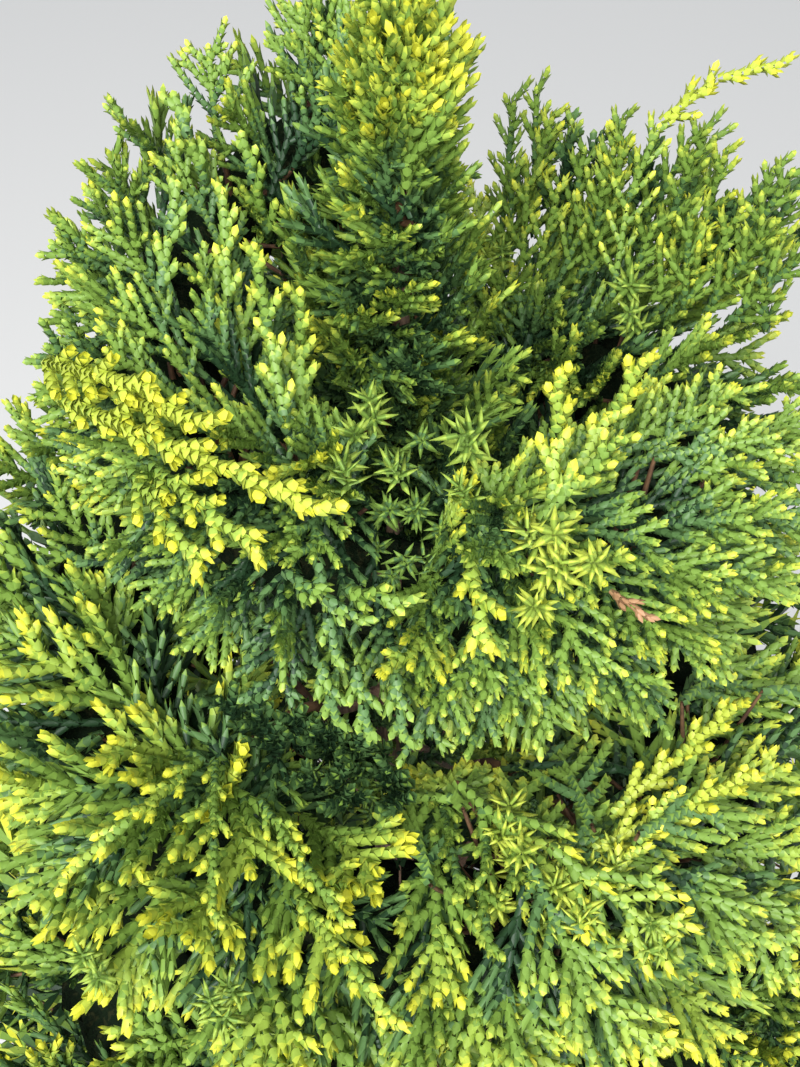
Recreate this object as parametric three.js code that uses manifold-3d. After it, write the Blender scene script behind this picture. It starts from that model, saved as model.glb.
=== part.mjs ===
// A spiral topiary: a potted juniper clipped to one band of foliage that winds down round its trunk.
// Millimetres, +Z up. The origin is the centre of the pot's flat underside, and -Y is the front.
import * as THREE from "three";
import { mergeVertices } from "three/addons/utils/BufferGeometryUtils.js";
import Module from "manifold-3d";

const wasm = await Module();
wasm.setup();

// Driving dimensions of the pot and the compost in it
const POT_HEIGHT = 215;
const RIM_RADIUS = 135;
const FOOT_RADIUS = 105;
const POT_WALL = 2.5;
const POT_FLOOR = 3;
const RIM_BAND = 22;
const RIM_PROUD = 3;
const RIM_EDGE = 1.2;
const FOOT_CHAMFER = 2;
const DRAIN_HOLES = 6;
const DRAIN_RADIUS = 8;
const DRAIN_INSET = 18;
const POT_SIDES = 48;
const SOIL_BELOW_RIM = 18;
const SOIL_FLAT = 30;
const SOIL_SWELL = 2;
const SOIL_EDGE_DIP = 4;

// What two pieces keep between them where they meet
const SEAT_GAP = 0.3;

// Driving dimensions of the crown. A drop is a height in it, measured down from its apex level.
const PITCH_TOP = 80;
const PITCH_GROWTH = 0.1;
const CROWN_RADIUS = 172;
const SHOULDER_DROP = 520;
const OUTLINE_POWER = 0.6;
const START_ANGLE = -Math.PI / 2;
const FIRST_TURN = 0.5;
const PER_TURN = 4;
const QUARTERS = 17;
const QUARTERS_ON_TRUNK = 4;
const BAND_HALF_SHARE = 0.4;
const ROOM_HALF_SHARE = 0.47;
const INNER_SHARE = 0.26;
const UPTURN = 0.15;
const SIDE_GAP = 0.6;
const BARE_TRUNK = 70;

// Driving dimensions of the trunk and the boughs
const TRUNK_RADIUS = 11.5;
const TRUNK_TIP_RADIUS = 1.6;
const TRUNK_TIP_DROP = 42;
const TRUNK_SWAY_X = 6;
const TRUNK_SWAY_Y = 5;
const TRUNK_SIDES = 12;
const TRUNK_STEPS = 24;
const FLARE_RADIUS = 18;
const FLARE_HEIGHT = 34;
const BOUGH_ROOT_SHARE = 0.46;
const BOUGH_TIP_SHARE = 0.26;
const BOUGH_RISE = 0.5;
const BOUGH_END_GAP = 2;
const BOUGH_SIDES = 6;
const BOUGH_STEPS = 4;
const STEM_RADIUS = 1.4;

// Driving dimensions of the foliage
const CORE_INSET = 14;
const CORE_INSET_SHARE = 0.36;
const CORE_SIDES = 10;
const CORE_NECK = 0.84;
const CORE_LAST = 0.5;
const CORE_STEPS = 3;
const CORE_END_GAP = 1.5;
const SPRAY_AREA = 4200;
const SPRAY_LEAST = 9;
const SPRAY_RADIUS = 8;
const SPRAY_ROOT_SHARE = 0.35;
const SPRAY_ROOT_SAG = 0.2;
const ROOT_SPREAD = 0.72;
const TIP_SPREAD = 0.92;
const SPRAY_FULL_SIZE = 48;
const SPRAY_LEAST_SCALE = 0.45;
const FINGER_RADIUS = 4.5;
const FINGER_REACH = 24;
const FINGER_SPLAY = 0.7;
const FINGER_OVERLAP = 1.15;
const GOLDEN_ANGLE = Math.PI * (3 - Math.sqrt(5));

// Driving dimensions of the plume that ends the trunk
const PLUME_TOP = 6;
const PLUME_SHOULDER = 20;
const PLUME_RADIUS = 12;
const PLUME_ROOM = 13.4;
const PLUME_CORE_DROP = 26;
const PLUME_CORE_HALF = 15;
const PLUME_CORE_RADIUS = 7.5;
const PLUME_SPRAYS = 9;

const SOIL_TOP = POT_HEIGHT - SOIL_BELOW_RIM;
const TRUNK_FOOT = SOIL_TOP + SEAT_GAP;

// The helix: the drop after some turns down from the apex, and the pitch and the outline's radius there
const dropAt = (turns) => (PITCH_TOP / PITCH_GROWTH) * (Math.exp(PITCH_GROWTH * turns) - 1);
const pitchAt = (drop) => PITCH_TOP + PITCH_GROWTH * drop;

function outlineAt(drop) {
  const share = Math.min(Math.max(drop / SHOULDER_DROP, 0), 1);
  return CROWN_RADIUS * (1 - (1 - share) ** 2) ** OUTLINE_POWER;
}

const LOWEST_DROP = dropAt(FIRST_TURN + QUARTERS / PER_TURN);
const CROWN_FOOT = LOWEST_DROP + BAND_HALF_SHARE * pitchAt(LOWEST_DROP);
const APEX_Z = SOIL_TOP + BARE_TRUNK + CROWN_FOOT;
const TRUNK_TOP = APEX_Z - TRUNK_TIP_DROP;

const angleAt = (turns) => START_ANGLE + 2 * Math.PI * turns;

// The band's cross-section at a turn: its inner and outer radius, its middle, and its half sizes
function sectionAt(turns) {
  const drop = dropAt(turns);
  const outer = outlineAt(drop);
  const inner = INNER_SHARE * outer;
  return {
    inner,
    middle: (inner + outer) / 2,
    across: (outer - inner) / 2,
    up: BAND_HALF_SHARE * pitchAt(drop),
    room: ROOM_HALF_SHARE * pitchAt(drop),
    z: APEX_Z - drop,
  };
}

// The point of the crown at a turn, a radius, and a height over the band's sloping middle surface
function crownPoint(turns, radius, height) {
  const section = sectionAt(turns);
  const angle = angleAt(turns);
  const z = section.z + UPTURN * (radius - section.middle) + height;
  return new THREE.Vector3(radius * Math.cos(angle), radius * Math.sin(angle), z);
}

function seeded(seed) {
  let state = seed >>> 0;
  return () => {
    state = (Math.imul(state, 1664525) + 1013904223) >>> 0;
    return state / 4294967296;
  };
}

// Moves a unit cylinder's or cone's vertices to place(t, across, up), where t runs from 0 to 1 along it
function shaped(unit, place) {
  const position = unit.getAttribute("position");
  const point = new THREE.Vector3();
  for (let i = 0; i < position.count; i += 1) {
    point.fromBufferAttribute(position, i);
    const moved = place(point.y + 0.5, point.x, point.z);
    position.setXYZ(i, moved.x, moved.y, moved.z);
  }
  return unit;
}

const roundUnit = (steps) => new THREE.CylinderGeometry(1, 1, 1, BOUGH_SIDES, steps);

// A limb along a curve, with its radius a function of t, made from a unit cylinder or cone
function limb(curve, radiusAt, unit) {
  const reference = new THREE.Vector3(0, 0, 1);
  if (Math.abs(curve.getTangent(0.5).z) > 0.9) reference.set(1, 0, 0);
  return shaped(unit, (t, across, up) => {
    const tangent = curve.getTangent(t);
    const normal = new THREE.Vector3().crossVectors(reference, tangent).normalize();
    const binormal = new THREE.Vector3().crossVectors(normal, tangent);
    const reach = Math.hypot(across, up);
    const size = reach > 1e-6 ? radiusAt(t) / reach : 0;
    return curve
      .getPoint(t)
      .addScaledVector(normal, across * size)
      .addScaledVector(binormal, up * size);
  });
}

function toSolid(geometry) {
  const bare = geometry.clone();
  bare.deleteAttribute("normal");
  bare.deleteAttribute("uv");
  const merged = mergeVertices(bare, 1e-4);
  return new wasm.Manifold(
    new wasm.Mesh({
      numProp: 3,
      vertProperties: merged.getAttribute("position").array,
      triVerts: new Uint32Array(merged.index.array),
    }),
  );
}

function fromSolid(solid) {
  const mesh = solid.getMesh();
  const geometry = new THREE.BufferGeometry();
  geometry.setAttribute("position", new THREE.BufferAttribute(mesh.vertProperties, 3));
  geometry.setIndex(new THREE.BufferAttribute(mesh.triVerts, 1));
  geometry.computeVertexNormals();
  return geometry;
}

function turned(profile) {
  const points = profile.map(([radius, height]) => new THREE.Vector2(radius, height));
  return new THREE.LatheGeometry(points, POT_SIDES).rotateX(Math.PI / 2);
}

function material(color, roughness) {
  return new THREE.MeshStandardMaterial({ color, roughness, metalness: 0 });
}
const POT_PLASTIC = material(0x16181a, 0.55);
const COMPOST = material(0x2e2118, 0.95);
const BARK = material(0x6b4a33, 0.9);
const FOLIAGE = material(0x5d8a35, 0.6);

const group = new THREE.Group();

function add(name, geometry, finish) {
  const mesh = new THREE.Mesh(geometry, finish);
  mesh.name = name;
  group.add(mesh);
}

// The outer radius of the pot's plain wall at a height
function wallAt(height) {
  const top = RIM_RADIUS - RIM_PROUD;
  return FOOT_RADIUS + ((top - FOOT_RADIUS) * height) / POT_HEIGHT;
}

function pot() {
  const bandFoot = POT_HEIGHT - RIM_BAND;
  const profile = [
    [0, 0],
    [FOOT_RADIUS - FOOT_CHAMFER, 0],
    [wallAt(FOOT_CHAMFER), FOOT_CHAMFER],
    [wallAt(bandFoot), bandFoot],
    [wallAt(bandFoot) + RIM_PROUD, bandFoot],
    [RIM_RADIUS, POT_HEIGHT - RIM_EDGE],
    [RIM_RADIUS - RIM_EDGE, POT_HEIGHT],
    [wallAt(POT_HEIGHT) - POT_WALL, POT_HEIGHT],
    [wallAt(POT_FLOOR) - POT_WALL, POT_FLOOR],
    [0, POT_FLOOR],
  ];
  let solid = toSolid(turned(profile));
  for (let i = 0; i < DRAIN_HOLES; i += 1) {
    const angle = (2 * Math.PI * (i + 0.5)) / DRAIN_HOLES;
    const radius = FOOT_RADIUS - DRAIN_INSET;
    const drill = new THREE.CylinderGeometry(DRAIN_RADIUS, DRAIN_RADIUS, 4 * POT_FLOOR, 12);
    drill.rotateX(Math.PI / 2);
    drill.translate(radius * Math.cos(angle), radius * Math.sin(angle), 0);
    solid = solid.subtract(toSolid(drill));
  }
  add("pot", fromSolid(solid), POT_PLASTIC);
}

function compost() {
  const inside = (height) => wallAt(height) - POT_WALL - SEAT_GAP;
  const foot = POT_FLOOR + SEAT_GAP;
  const edge = SOIL_TOP - SOIL_EDGE_DIP;
  const profile = [
    [0, foot],
    [inside(foot), foot],
    [inside(edge), edge],
    [(inside(edge) + SOIL_FLAT) / 2, SOIL_TOP + SOIL_SWELL],
    [SOIL_FLAT, SOIL_TOP],
    [0, SOIL_TOP],
  ];
  add("compost", turned(profile), COMPOST);
}

const trunkShare = (z) => (z - TRUNK_FOOT) / (TRUNK_TOP - TRUNK_FOOT);

// The trunk's centre line sways a little, and less towards its tip
function trunkCentre(z) {
  const share = trunkShare(z);
  const x = TRUNK_SWAY_X * (1 - share) * Math.sin(2.2 * Math.PI * share);
  const y = TRUNK_SWAY_Y * (1 - share) * Math.sin(1.6 * Math.PI * share);
  return new THREE.Vector3(x, y, z);
}

function trunkRadiusAt(z) {
  const plain = TRUNK_RADIUS + (TRUNK_TIP_RADIUS - TRUNK_RADIUS) * trunkShare(z);
  const flare = Math.max(0, 1 - (z - TRUNK_FOOT) / FLARE_HEIGHT);
  return plain + (FLARE_RADIUS - TRUNK_RADIUS) * flare ** 2;
}

function trunk() {
  const unit = new THREE.CylinderGeometry(1, 1, 1, TRUNK_SIDES, TRUNK_STEPS);
  const geometry = shaped(unit, (t, across, up) => {
    const centre = trunkCentre(TRUNK_FOOT + (TRUNK_TOP - TRUNK_FOOT) * t ** 1.3);
    const radius = trunkRadiusAt(centre.z);
    return new THREE.Vector3(centre.x + across * radius, centre.y - up * radius, centre.z);
  });
  add("trunk", geometry, BARK);
}

// Shapes a limb's first ring to the trunk's side, so that it sits on the bark all round
function seatedOnTrunk(geometry, ringStart) {
  const position = geometry.getAttribute("position");
  const point = new THREE.Vector3();
  for (let i = 0; i < position.count; i += 1) {
    point.fromBufferAttribute(position, i);
    if (point.distanceTo(ringStart.centre) > ringStart.radius) continue;
    const centre = trunkCentre(point.z);
    const side = point.clone().sub(centre).setZ(0).normalize();
    const seat = centre.addScaledVector(side, trunkRadiusAt(point.z) + SEAT_GAP);
    position.setXYZ(i, seat.x, seat.y, seat.z);
  }
  return geometry;
}

// The limb of a quarter of a turn: from the trunk, out and up to where its foliage takes over
function boughOf(quarter) {
  const turns = FIRST_TURN + (quarter + 0.5) / PER_TURN;
  const section = sectionAt(turns);
  const angle = angleAt(turns);
  const outward = new THREE.Vector3(Math.cos(angle), Math.sin(angle), 0);
  const tip = crownPoint(turns, section.inner - BOUGH_END_GAP, 0);
  const foot = trunkCentre(tip.z - BOUGH_RISE * section.inner);
  const root = foot.clone().addScaledVector(outward, trunkRadiusAt(foot.z) + SEAT_GAP);
  const bend = root.clone().addScaledVector(outward, 0.5 * root.distanceTo(tip));
  return {
    turns,
    curve: new THREE.QuadraticBezierCurve3(root, bend, tip),
    rootRadius: Math.max(BOUGH_ROOT_SHARE * trunkRadiusAt(foot.z), STEM_RADIUS),
    tipRadius: Math.max(BOUGH_TIP_SHARE * trunkRadiusAt(foot.z), STEM_RADIUS),
  };
}

const SIDES = ["back_left", "front_left", "front_right", "back_right"];

function placeName(quarter) {
  return "turn" + (1 + Math.floor(quarter / PER_TURN)) + "_" + SIDES[quarter % PER_TURN];
}

function bough(quarter) {
  const { curve, rootRadius, tipRadius } = boughOf(quarter);
  const radiusAt = (t) => tipRadius + (rootRadius - tipRadius) * (1 - t) ** 1.6;
  const geometry = limb(curve, radiusAt, roundUnit(BOUGH_STEPS));
  const ringStart = { centre: curve.v0, radius: rootRadius + SEAT_GAP };
  add("bough_" + placeName(quarter), seatedOnTrunk(geometry, ringStart), BARK);
}

// True where a point lies in the space that a quarter's foliage keeps to
function inQuarter(point, quarter) {
  const width = 1 / PER_TURN;
  const from = FIRST_TURN + quarter * width;
  const radius = Math.hypot(point.x, point.y);
  let turn = (Math.atan2(point.y, point.x) - angleAt(from)) / (2 * Math.PI);
  turn -= Math.floor(turn + width);
  if (turn < 0 || turn > width) return false;
  const toSide = radius * Math.sin(2 * Math.PI * Math.min(turn, width - turn));
  const section = sectionAt(from + turn);
  const height = point.z - section.z - UPTURN * (radius - section.middle);
  return toSide > SIDE_GAP && radius > section.inner && Math.abs(height) < section.room;
}

// A three-sided shoot from a root to a tip, fullest halfway
function shoot(root, tip, radius) {
  const radiusAt = (t) => radius * Math.min(0.5 + t, 2 * (1 - t));
  return toSolid(limb(new THREE.LineCurve3(root, tip), radiusAt, new THREE.ConeGeometry(1, 1, 3, 2)));
}

// A spray: a full shoot and a shorter one that leans off it, left out where its tip leaves the space
function spray(root, tip, scale, random, keepsTo) {
  const along = tip.clone().sub(root);
  const length = along.length();
  along.normalize();
  const side = new THREE.Vector3(-along.y, along.x, 0).normalize();
  side.applyAxisAngle(along, 2 * Math.PI * random());
  const reach = FINGER_REACH * scale * (0.8 + 0.4 * random());
  const fork = root.clone().addScaledVector(along, Math.max(length - FINGER_OVERLAP * reach, 0));
  const lean = along.clone().addScaledVector(side, FINGER_SPLAY).normalize();
  const end = fork.clone().addScaledVector(lean, reach);
  const pieces = [shoot(root, tip, SPRAY_RADIUS * scale)];
  if (keepsTo(end)) pieces.push(shoot(fork, end, FINGER_RADIUS * scale));
  return pieces;
}

const coreHalf = (half) => half - Math.min(CORE_INSET, CORE_INSET_SHARE * half);

// The smaller body inside a quarter's foliage that its sprays stand out of
function coreOf(quarter) {
  const from = FIRST_TURN + quarter / PER_TURN;
  const middle = sectionAt(from + 0.5 / PER_TURN).middle;
  const inset = CORE_END_GAP / (2 * Math.PI * middle);
  const atStart = quarter === 0 ? CORE_LAST : CORE_NECK;
  const atEnd = quarter === QUARTERS - 1 ? CORE_LAST : CORE_NECK;
  const unit = new THREE.CylinderGeometry(1, 1, 1, CORE_SIDES, CORE_STEPS);
  return shaped(unit, (t, across, up) => {
    const turns = from + inset + (1 / PER_TURN - 2 * inset) * t;
    const section = sectionAt(turns);
    let size = 1;
    if (t === 0) size = atStart;
    if (t === 1) size = atEnd;
    const radius = section.middle + coreHalf(section.across) * size * across;
    return crownPoint(turns, radius, coreHalf(section.up) * size * up);
  });
}

// A quarter's sprays, dealt along it and round its cross-section by the golden angle
function spraysOf(quarter) {
  const width = 1 / PER_TURN;
  const from = FIRST_TURN + quarter * width;
  const middle = sectionAt(from + width / 2);
  const skin = Math.PI * (middle.across + middle.up) * 2 * Math.PI * width * middle.middle;
  const count = Math.max(SPRAY_LEAST, Math.round(skin / SPRAY_AREA));
  const scale = THREE.MathUtils.clamp(middle.across / SPRAY_FULL_SIZE, SPRAY_LEAST_SCALE, 1);
  const random = seeded(101 + quarter);
  const keepsTo = (point) => inQuarter(point, quarter);
  const pieces = [];
  for (let i = 0; i < count; i += 1) {
    const along = (i + 0.2 + 0.6 * random()) / count;
    const round = i * GOLDEN_ANGLE + 0.5 * random();
    const reach = 0.92 + 0.1 * random();
    const rooted = from + width * (0.5 + ROOT_SPREAD * (along - 0.5));
    const tipped = from + width * (0.5 + TIP_SPREAD * (along - 0.5));
    const place = (turns, share, lift) => {
      const section = sectionAt(turns);
      const radius = section.middle + section.across * share * Math.cos(round);
      return crownPoint(turns, radius, section.up * (share * Math.sin(round) + lift));
    };
    const root = place(rooted, SPRAY_ROOT_SHARE, -SPRAY_ROOT_SAG);
    const tip = place(tipped, reach, 0);
    if (keepsTo(tip)) pieces.push(...spray(root, tip, scale, random, keepsTo));
  }
  return pieces;
}

// The stem that a quarter's foliage branches from, off its bough's tip or off the trunk where it has none
function stemOf(quarter) {
  const { curve, turns, tipRadius } = boughOf(quarter);
  const heart = crownPoint(turns, sectionAt(turns).middle, 0);
  if (quarter < QUARTERS_ON_TRUNK) {
    const path = new THREE.QuadraticBezierCurve3(curve.v0, curve.v1, heart);
    const geometry = limb(path, () => STEM_RADIUS, roundUnit(BOUGH_STEPS));
    return toSolid(seatedOnTrunk(geometry, { centre: curve.v0, radius: STEM_RADIUS + SEAT_GAP }));
  }
  const root = curve.v2.clone().addScaledVector(curve.getTangent(1), SEAT_GAP);
  const bend = root.clone().addScaledVector(curve.getTangent(1), CORE_INSET);
  const path = new THREE.QuadraticBezierCurve3(root, bend, heart);
  return toSolid(limb(path, () => tipRadius, roundUnit(BOUGH_STEPS)));
}

function foliage(quarter) {
  const pieces = [toSolid(coreOf(quarter)), stemOf(quarter), ...spraysOf(quarter)];
  add("foliage_" + placeName(quarter), fromSolid(wasm.Manifold.union(pieces)), FOLIAGE);
}

// The plume of upright sprays that ends the trunk
function plume() {
  const heart = new THREE.Vector3(0, 0, APEX_Z - PLUME_CORE_DROP);
  const core = new THREE.SphereGeometry(1, CORE_SIDES, 6).rotateX(Math.PI / 2);
  core.scale(PLUME_CORE_RADIUS, PLUME_CORE_RADIUS, PLUME_CORE_HALF);
  core.translate(heart.x, heart.y, heart.z);
  const foot = new THREE.Vector3(0, 0, TRUNK_TOP + SEAT_GAP);
  const stem = limb(new THREE.LineCurve3(foot, heart), () => STEM_RADIUS, roundUnit(1));
  const random = seeded(99);
  const keepsTo = (point) => Math.hypot(point.x, point.y) < PLUME_ROOM;
  const pieces = [toSolid(core), toSolid(stem)];
  for (let i = 0; i < PLUME_SPRAYS; i += 1) {
    const share = (i + 0.5) / PLUME_SPRAYS;
    const angle = i * GOLDEN_ANGLE;
    const radius = PLUME_RADIUS * Math.sqrt(share);
    const rise = PLUME_TOP - PLUME_SHOULDER * share ** 2 + 3 * random();
    const tip = new THREE.Vector3(radius * Math.cos(angle), radius * Math.sin(angle), APEX_Z + rise);
    pieces.push(...spray(heart, tip, SPRAY_LEAST_SCALE, random, keepsTo));
  }
  add("foliage_plume", fromSolid(wasm.Manifold.union(pieces)), FOLIAGE);
}

pot();
compost();
trunk();
plume();
for (let quarter = 0; quarter < QUARTERS; quarter += 1) {
  if (quarter >= QUARTERS_ON_TRUNK) bough(quarter);
  foliage(quarter);
}

export default group;
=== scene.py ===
# A spiral topiary in its nursery pot: leaf shoots, twigs, bark, pot and compost over the fixed solids.
# Lengths are in millimetres until a mesh is made. +Z is up and -Y is the side that the photograph shows.
import math

import bpy
import numpy as np
from mathutils import Matrix, Vector, noise


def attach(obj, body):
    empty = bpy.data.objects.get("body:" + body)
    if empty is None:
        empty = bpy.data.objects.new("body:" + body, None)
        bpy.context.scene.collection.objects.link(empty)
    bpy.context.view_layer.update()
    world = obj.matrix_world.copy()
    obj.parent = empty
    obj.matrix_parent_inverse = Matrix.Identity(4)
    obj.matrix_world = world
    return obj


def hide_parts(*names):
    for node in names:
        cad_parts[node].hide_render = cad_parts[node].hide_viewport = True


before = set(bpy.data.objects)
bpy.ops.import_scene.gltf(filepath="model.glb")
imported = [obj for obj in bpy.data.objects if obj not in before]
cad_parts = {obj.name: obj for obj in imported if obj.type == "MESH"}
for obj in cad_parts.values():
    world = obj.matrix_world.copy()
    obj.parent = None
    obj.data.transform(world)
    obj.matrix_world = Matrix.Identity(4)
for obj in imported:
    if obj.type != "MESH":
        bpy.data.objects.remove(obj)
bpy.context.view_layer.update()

MM = 0.001
TAU = 2 * math.pi

# The pot, the compost and the trunk, as in the part's source
POT_HEIGHT = 215
RIM_RADIUS = 135
FOOT_RADIUS = 105
POT_WALL = 2.5
POT_FLOOR = 3
RIM_BAND = 22
RIM_PROUD = 3
DRAIN_HOLES = 6
DRAIN_RADIUS = 8
DRAIN_INSET = 18
SOIL_BELOW_RIM = 18
SOIL_FLAT = 30
SOIL_SWELL = 2
SOIL_EDGE_DIP = 4
SEAT_GAP = 0.3
TRUNK_RADIUS = 11.5
TRUNK_TIP_RADIUS = 1.6
TRUNK_TIP_DROP = 42
TRUNK_SWAY_X = 6
TRUNK_SWAY_Y = 5
FLARE_RADIUS = 18
FLARE_HEIGHT = 34
BOUGH_ROOT_SHARE = 0.46
BOUGH_TIP_SHARE = 0.26
BOUGH_RISE = 0.5
BOUGH_END_GAP = 2
STEM_RADIUS = 1.4

# The crown's helix, as in the part's source. A drop is a height in the crown, down from its apex level.
PITCH_TOP = 80
PITCH_GROWTH = 0.1
CROWN_RADIUS = 172
SHOULDER_DROP = 520
OUTLINE_POWER = 0.6
START_ANGLE = -math.pi / 2
FIRST_TURN = 0.5
PER_TURN = 4
QUARTERS = 17
QUARTERS_ON_TRUNK = 4
BAND_HALF_SHARE = 0.4
ROOM_HALF_SHARE = 0.47
INNER_SHARE = 0.26
UPTURN = 0.15
BARE_TRUNK = 70
CORE_INSET = 14
CORE_INSET_SHARE = 0.36
SIDES = ["back_left", "front_left", "front_right", "back_right"]
GOLDEN_ANGLE = math.pi * (3 - math.sqrt(5))
GOLDEN_SHARE = 0.618
UP = np.array([0, 0, 1.0])

SOIL_TOP = POT_HEIGHT - SOIL_BELOW_RIM
TRUNK_FOOT = SOIL_TOP + SEAT_GAP
WIDTH = 1 / PER_TURN
LAST_TURN = FIRST_TURN + QUARTERS * WIDTH


def drop_at(turns):
    return (PITCH_TOP / PITCH_GROWTH) * (np.exp(PITCH_GROWTH * turns) - 1)


def outline_at(drop):
    share = np.clip(drop / SHOULDER_DROP, 0, 1)
    return CROWN_RADIUS * (1 - (1 - share) ** 2) ** OUTLINE_POWER


LOWEST_DROP = drop_at(LAST_TURN)
CROWN_FOOT = LOWEST_DROP + BAND_HALF_SHARE * (PITCH_TOP + PITCH_GROWTH * LOWEST_DROP)
APEX_Z = SOIL_TOP + BARE_TRUNK + CROWN_FOOT
TRUNK_TOP = APEX_Z - TRUNK_TIP_DROP


def angle_at(turns):
    return START_ANGLE + TAU * turns


def outward_at(angle):
    """The level direction away from the trunk's axis, for one angle or for an array of angles."""
    return np.stack([np.cos(angle), np.sin(angle), 0 * angle], -1)


class Section:
    """The band's cross-section at one turn, or at each of an array of turns."""

    def __init__(self, turns):
        drop = drop_at(turns)
        pitch = PITCH_TOP + PITCH_GROWTH * drop
        outer = outline_at(drop)
        self.inner = INNER_SHARE * outer
        self.middle = (self.inner + outer) / 2
        self.across = (outer - self.inner) / 2
        self.up = BAND_HALF_SHARE * pitch
        self.room = ROOM_HALF_SHARE * pitch
        self.z = APEX_Z - drop


def crown_point(turns, radius, height):
    section = Section(turns)
    angle = angle_at(turns)
    z = section.z + UPTURN * (radius - section.middle) + height
    return np.stack(np.broadcast_arrays(radius * np.cos(angle), radius * np.sin(angle), z), -1)


def unit(vectors):
    return vectors / np.maximum(np.linalg.norm(vectors, axis=-1, keepdims=True), 1e-9)


def scaled(vectors, amounts):
    """Each vector times every number of its row of amounts."""
    return vectors[:, None] * amounts[..., None]


def perpendicular(vectors, axis):
    return unit(vectors - axis * np.sum(vectors * axis, -1, keepdims=True))


def place_name(quarter):
    return f"turn{1 + quarter // PER_TURN}_{SIDES[quarter % PER_TURN]}"


def band_share(points):
    """How deep points lie in the nearest turn of the band: 0 at its middle line, 1 on its outline."""
    radius = np.hypot(points[..., 0], points[..., 1])
    angle = np.arctan2(points[..., 1], points[..., 0])
    least = np.full(radius.shape, np.inf)
    for turn in range(math.ceil(LAST_TURN) + 1):
        turns = (angle - START_ANGLE) / TAU + turn
        section = Section(np.maximum(turns, FIRST_TURN))
        height = points[..., 2] - section.z - UPTURN * (radius - section.middle)
        share = np.hypot((radius - section.middle) / section.across, height / section.up)
        here = (turns >= FIRST_TURN) & (turns <= LAST_TURN)
        least = np.where(here, np.minimum(least, share), least)
    return least


# The camera stands where the photograph was taken from: close above the top turns, looking down on them
PHOTO_WIDTH = 800
PHOTO_HEIGHT = 1067
SENSOR_LONG_SIDE = 36
CAMERA_ELEVATION = math.radians(50)
CAMERA_DISTANCE = 260
CAMERA_FOCUS_PIXELS = 1400
CAMERA_TARGET = np.array([0, -45, APEX_Z - 75])
CAMERA_BACK = np.array([0, -math.cos(CAMERA_ELEVATION), math.sin(CAMERA_ELEVATION)])
CAMERA_UP = np.array([0, math.sin(CAMERA_ELEVATION), math.cos(CAMERA_ELEVATION)])
CAMERA_EYE = CAMERA_TARGET + CAMERA_DISTANCE * CAMERA_BACK

# Where a line of sight is tried: how far from the eye, and how far in front of a point that may be hidden
SIGHT_STEPS = np.arange(60, 520, 1.0)
CLEAR_STEPS = np.arange(14, 430, 9.0)
SEEN_MARGIN = 60
LEAST_FACING = -0.2
HIDDEN_SHARE = 0.78


def set_camera():
    data = bpy.data.cameras.new("photo_camera")
    data.sensor_width = SENSOR_LONG_SIDE
    data.lens = SENSOR_LONG_SIDE * CAMERA_FOCUS_PIXELS / PHOTO_HEIGHT
    data.clip_start = 0.01
    data.clip_end = 20
    camera = bpy.data.objects.new("photo_camera", data)
    bpy.context.scene.collection.objects.link(camera)
    camera.location = Vector(CAMERA_EYE * MM)
    camera.rotation_euler = (math.pi / 2 - CAMERA_ELEVATION, 0, 0)
    bpy.context.scene.camera = camera


def pixel_ray(pixel):
    """The direction from the eye through a pixel of the 800 by 1067 photograph."""
    across = (pixel[0] - PHOTO_WIDTH / 2) / CAMERA_FOCUS_PIXELS
    upward = (PHOTO_HEIGHT / 2 - pixel[1]) / CAMERA_FOCUS_PIXELS
    return unit(np.array([across, 0, 0]) + upward * CAMERA_UP - CAMERA_BACK)


def sight_length(pixel):
    """How far from the eye a pixel's line of sight meets the band's outline, or passes it nearest."""
    share = band_share(CAMERA_EYE + pixel_ray(pixel) * SIGHT_STEPS[:, None])
    return SIGHT_STEPS[np.argmax(share < 1) if share.min() < 1 else np.argmin(share)]


def on_sight(pixel, length):
    return CAMERA_EYE + pixel_ray(pixel) * length


def on_crown(pixel, lift=0.0):
    """The point of the band's outline that a pixel shows, or one nearer to the eye by a lift."""
    return on_sight(pixel, sight_length(pixel) - lift)


def pixel_of(points):
    """Where points show in the photograph."""
    away = points - CAMERA_EYE
    depth = -away @ CAMERA_BACK
    across = PHOTO_WIDTH / 2 + CAMERA_FOCUS_PIXELS * away[:, 0] / depth
    down = PHOTO_HEIGHT / 2 - CAMERA_FOCUS_PIXELS * (away @ CAMERA_UP) / depth
    return np.stack([across, down], -1)


def seen(points, normals):
    """True for points that the photograph shows: in its frame, facing it and not behind other foliage."""
    pixels = pixel_of(points)
    corner = np.array([PHOTO_WIDTH, PHOTO_HEIGHT])
    framed = ((pixels > -SEEN_MARGIN) & (pixels < corner + SEEN_MARGIN)).all(-1)
    towards = unit(CAMERA_EYE - points)
    facing = np.sum(towards * normals, -1) > LEAST_FACING
    clear = (band_share(points[:, None] + scaled(towards, CLEAR_STEPS[None])) > HIDDEN_SHARE).all(-1)
    return framed & facing & clear


class Shade:
    """A socket of a material's node tree, with the operators that its maths uses."""

    def __init__(self, finish, socket):
        self.finish = finish
        self.socket = socket

    def maths(self, operation, *others):
        values = {i: value for i, value in enumerate((self, *others))}
        return self.finish.node("ShaderNodeMath", {"operation": operation}, values)

    def __add__(self, other):
        return self.maths("ADD", other)

    def __mul__(self, other):
        return self.maths("MULTIPLY", other)

    __radd__ = __add__
    __rmul__ = __mul__

    def over(self, level, softness):
        """0 below a level and 1 above it, with a soft edge."""
        limits = {0: self, 1: level - softness, 2: level + softness}
        return self.finish.node("ShaderNodeMapRange", {"interpolation_type": "SMOOTHSTEP"}, limits)


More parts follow.
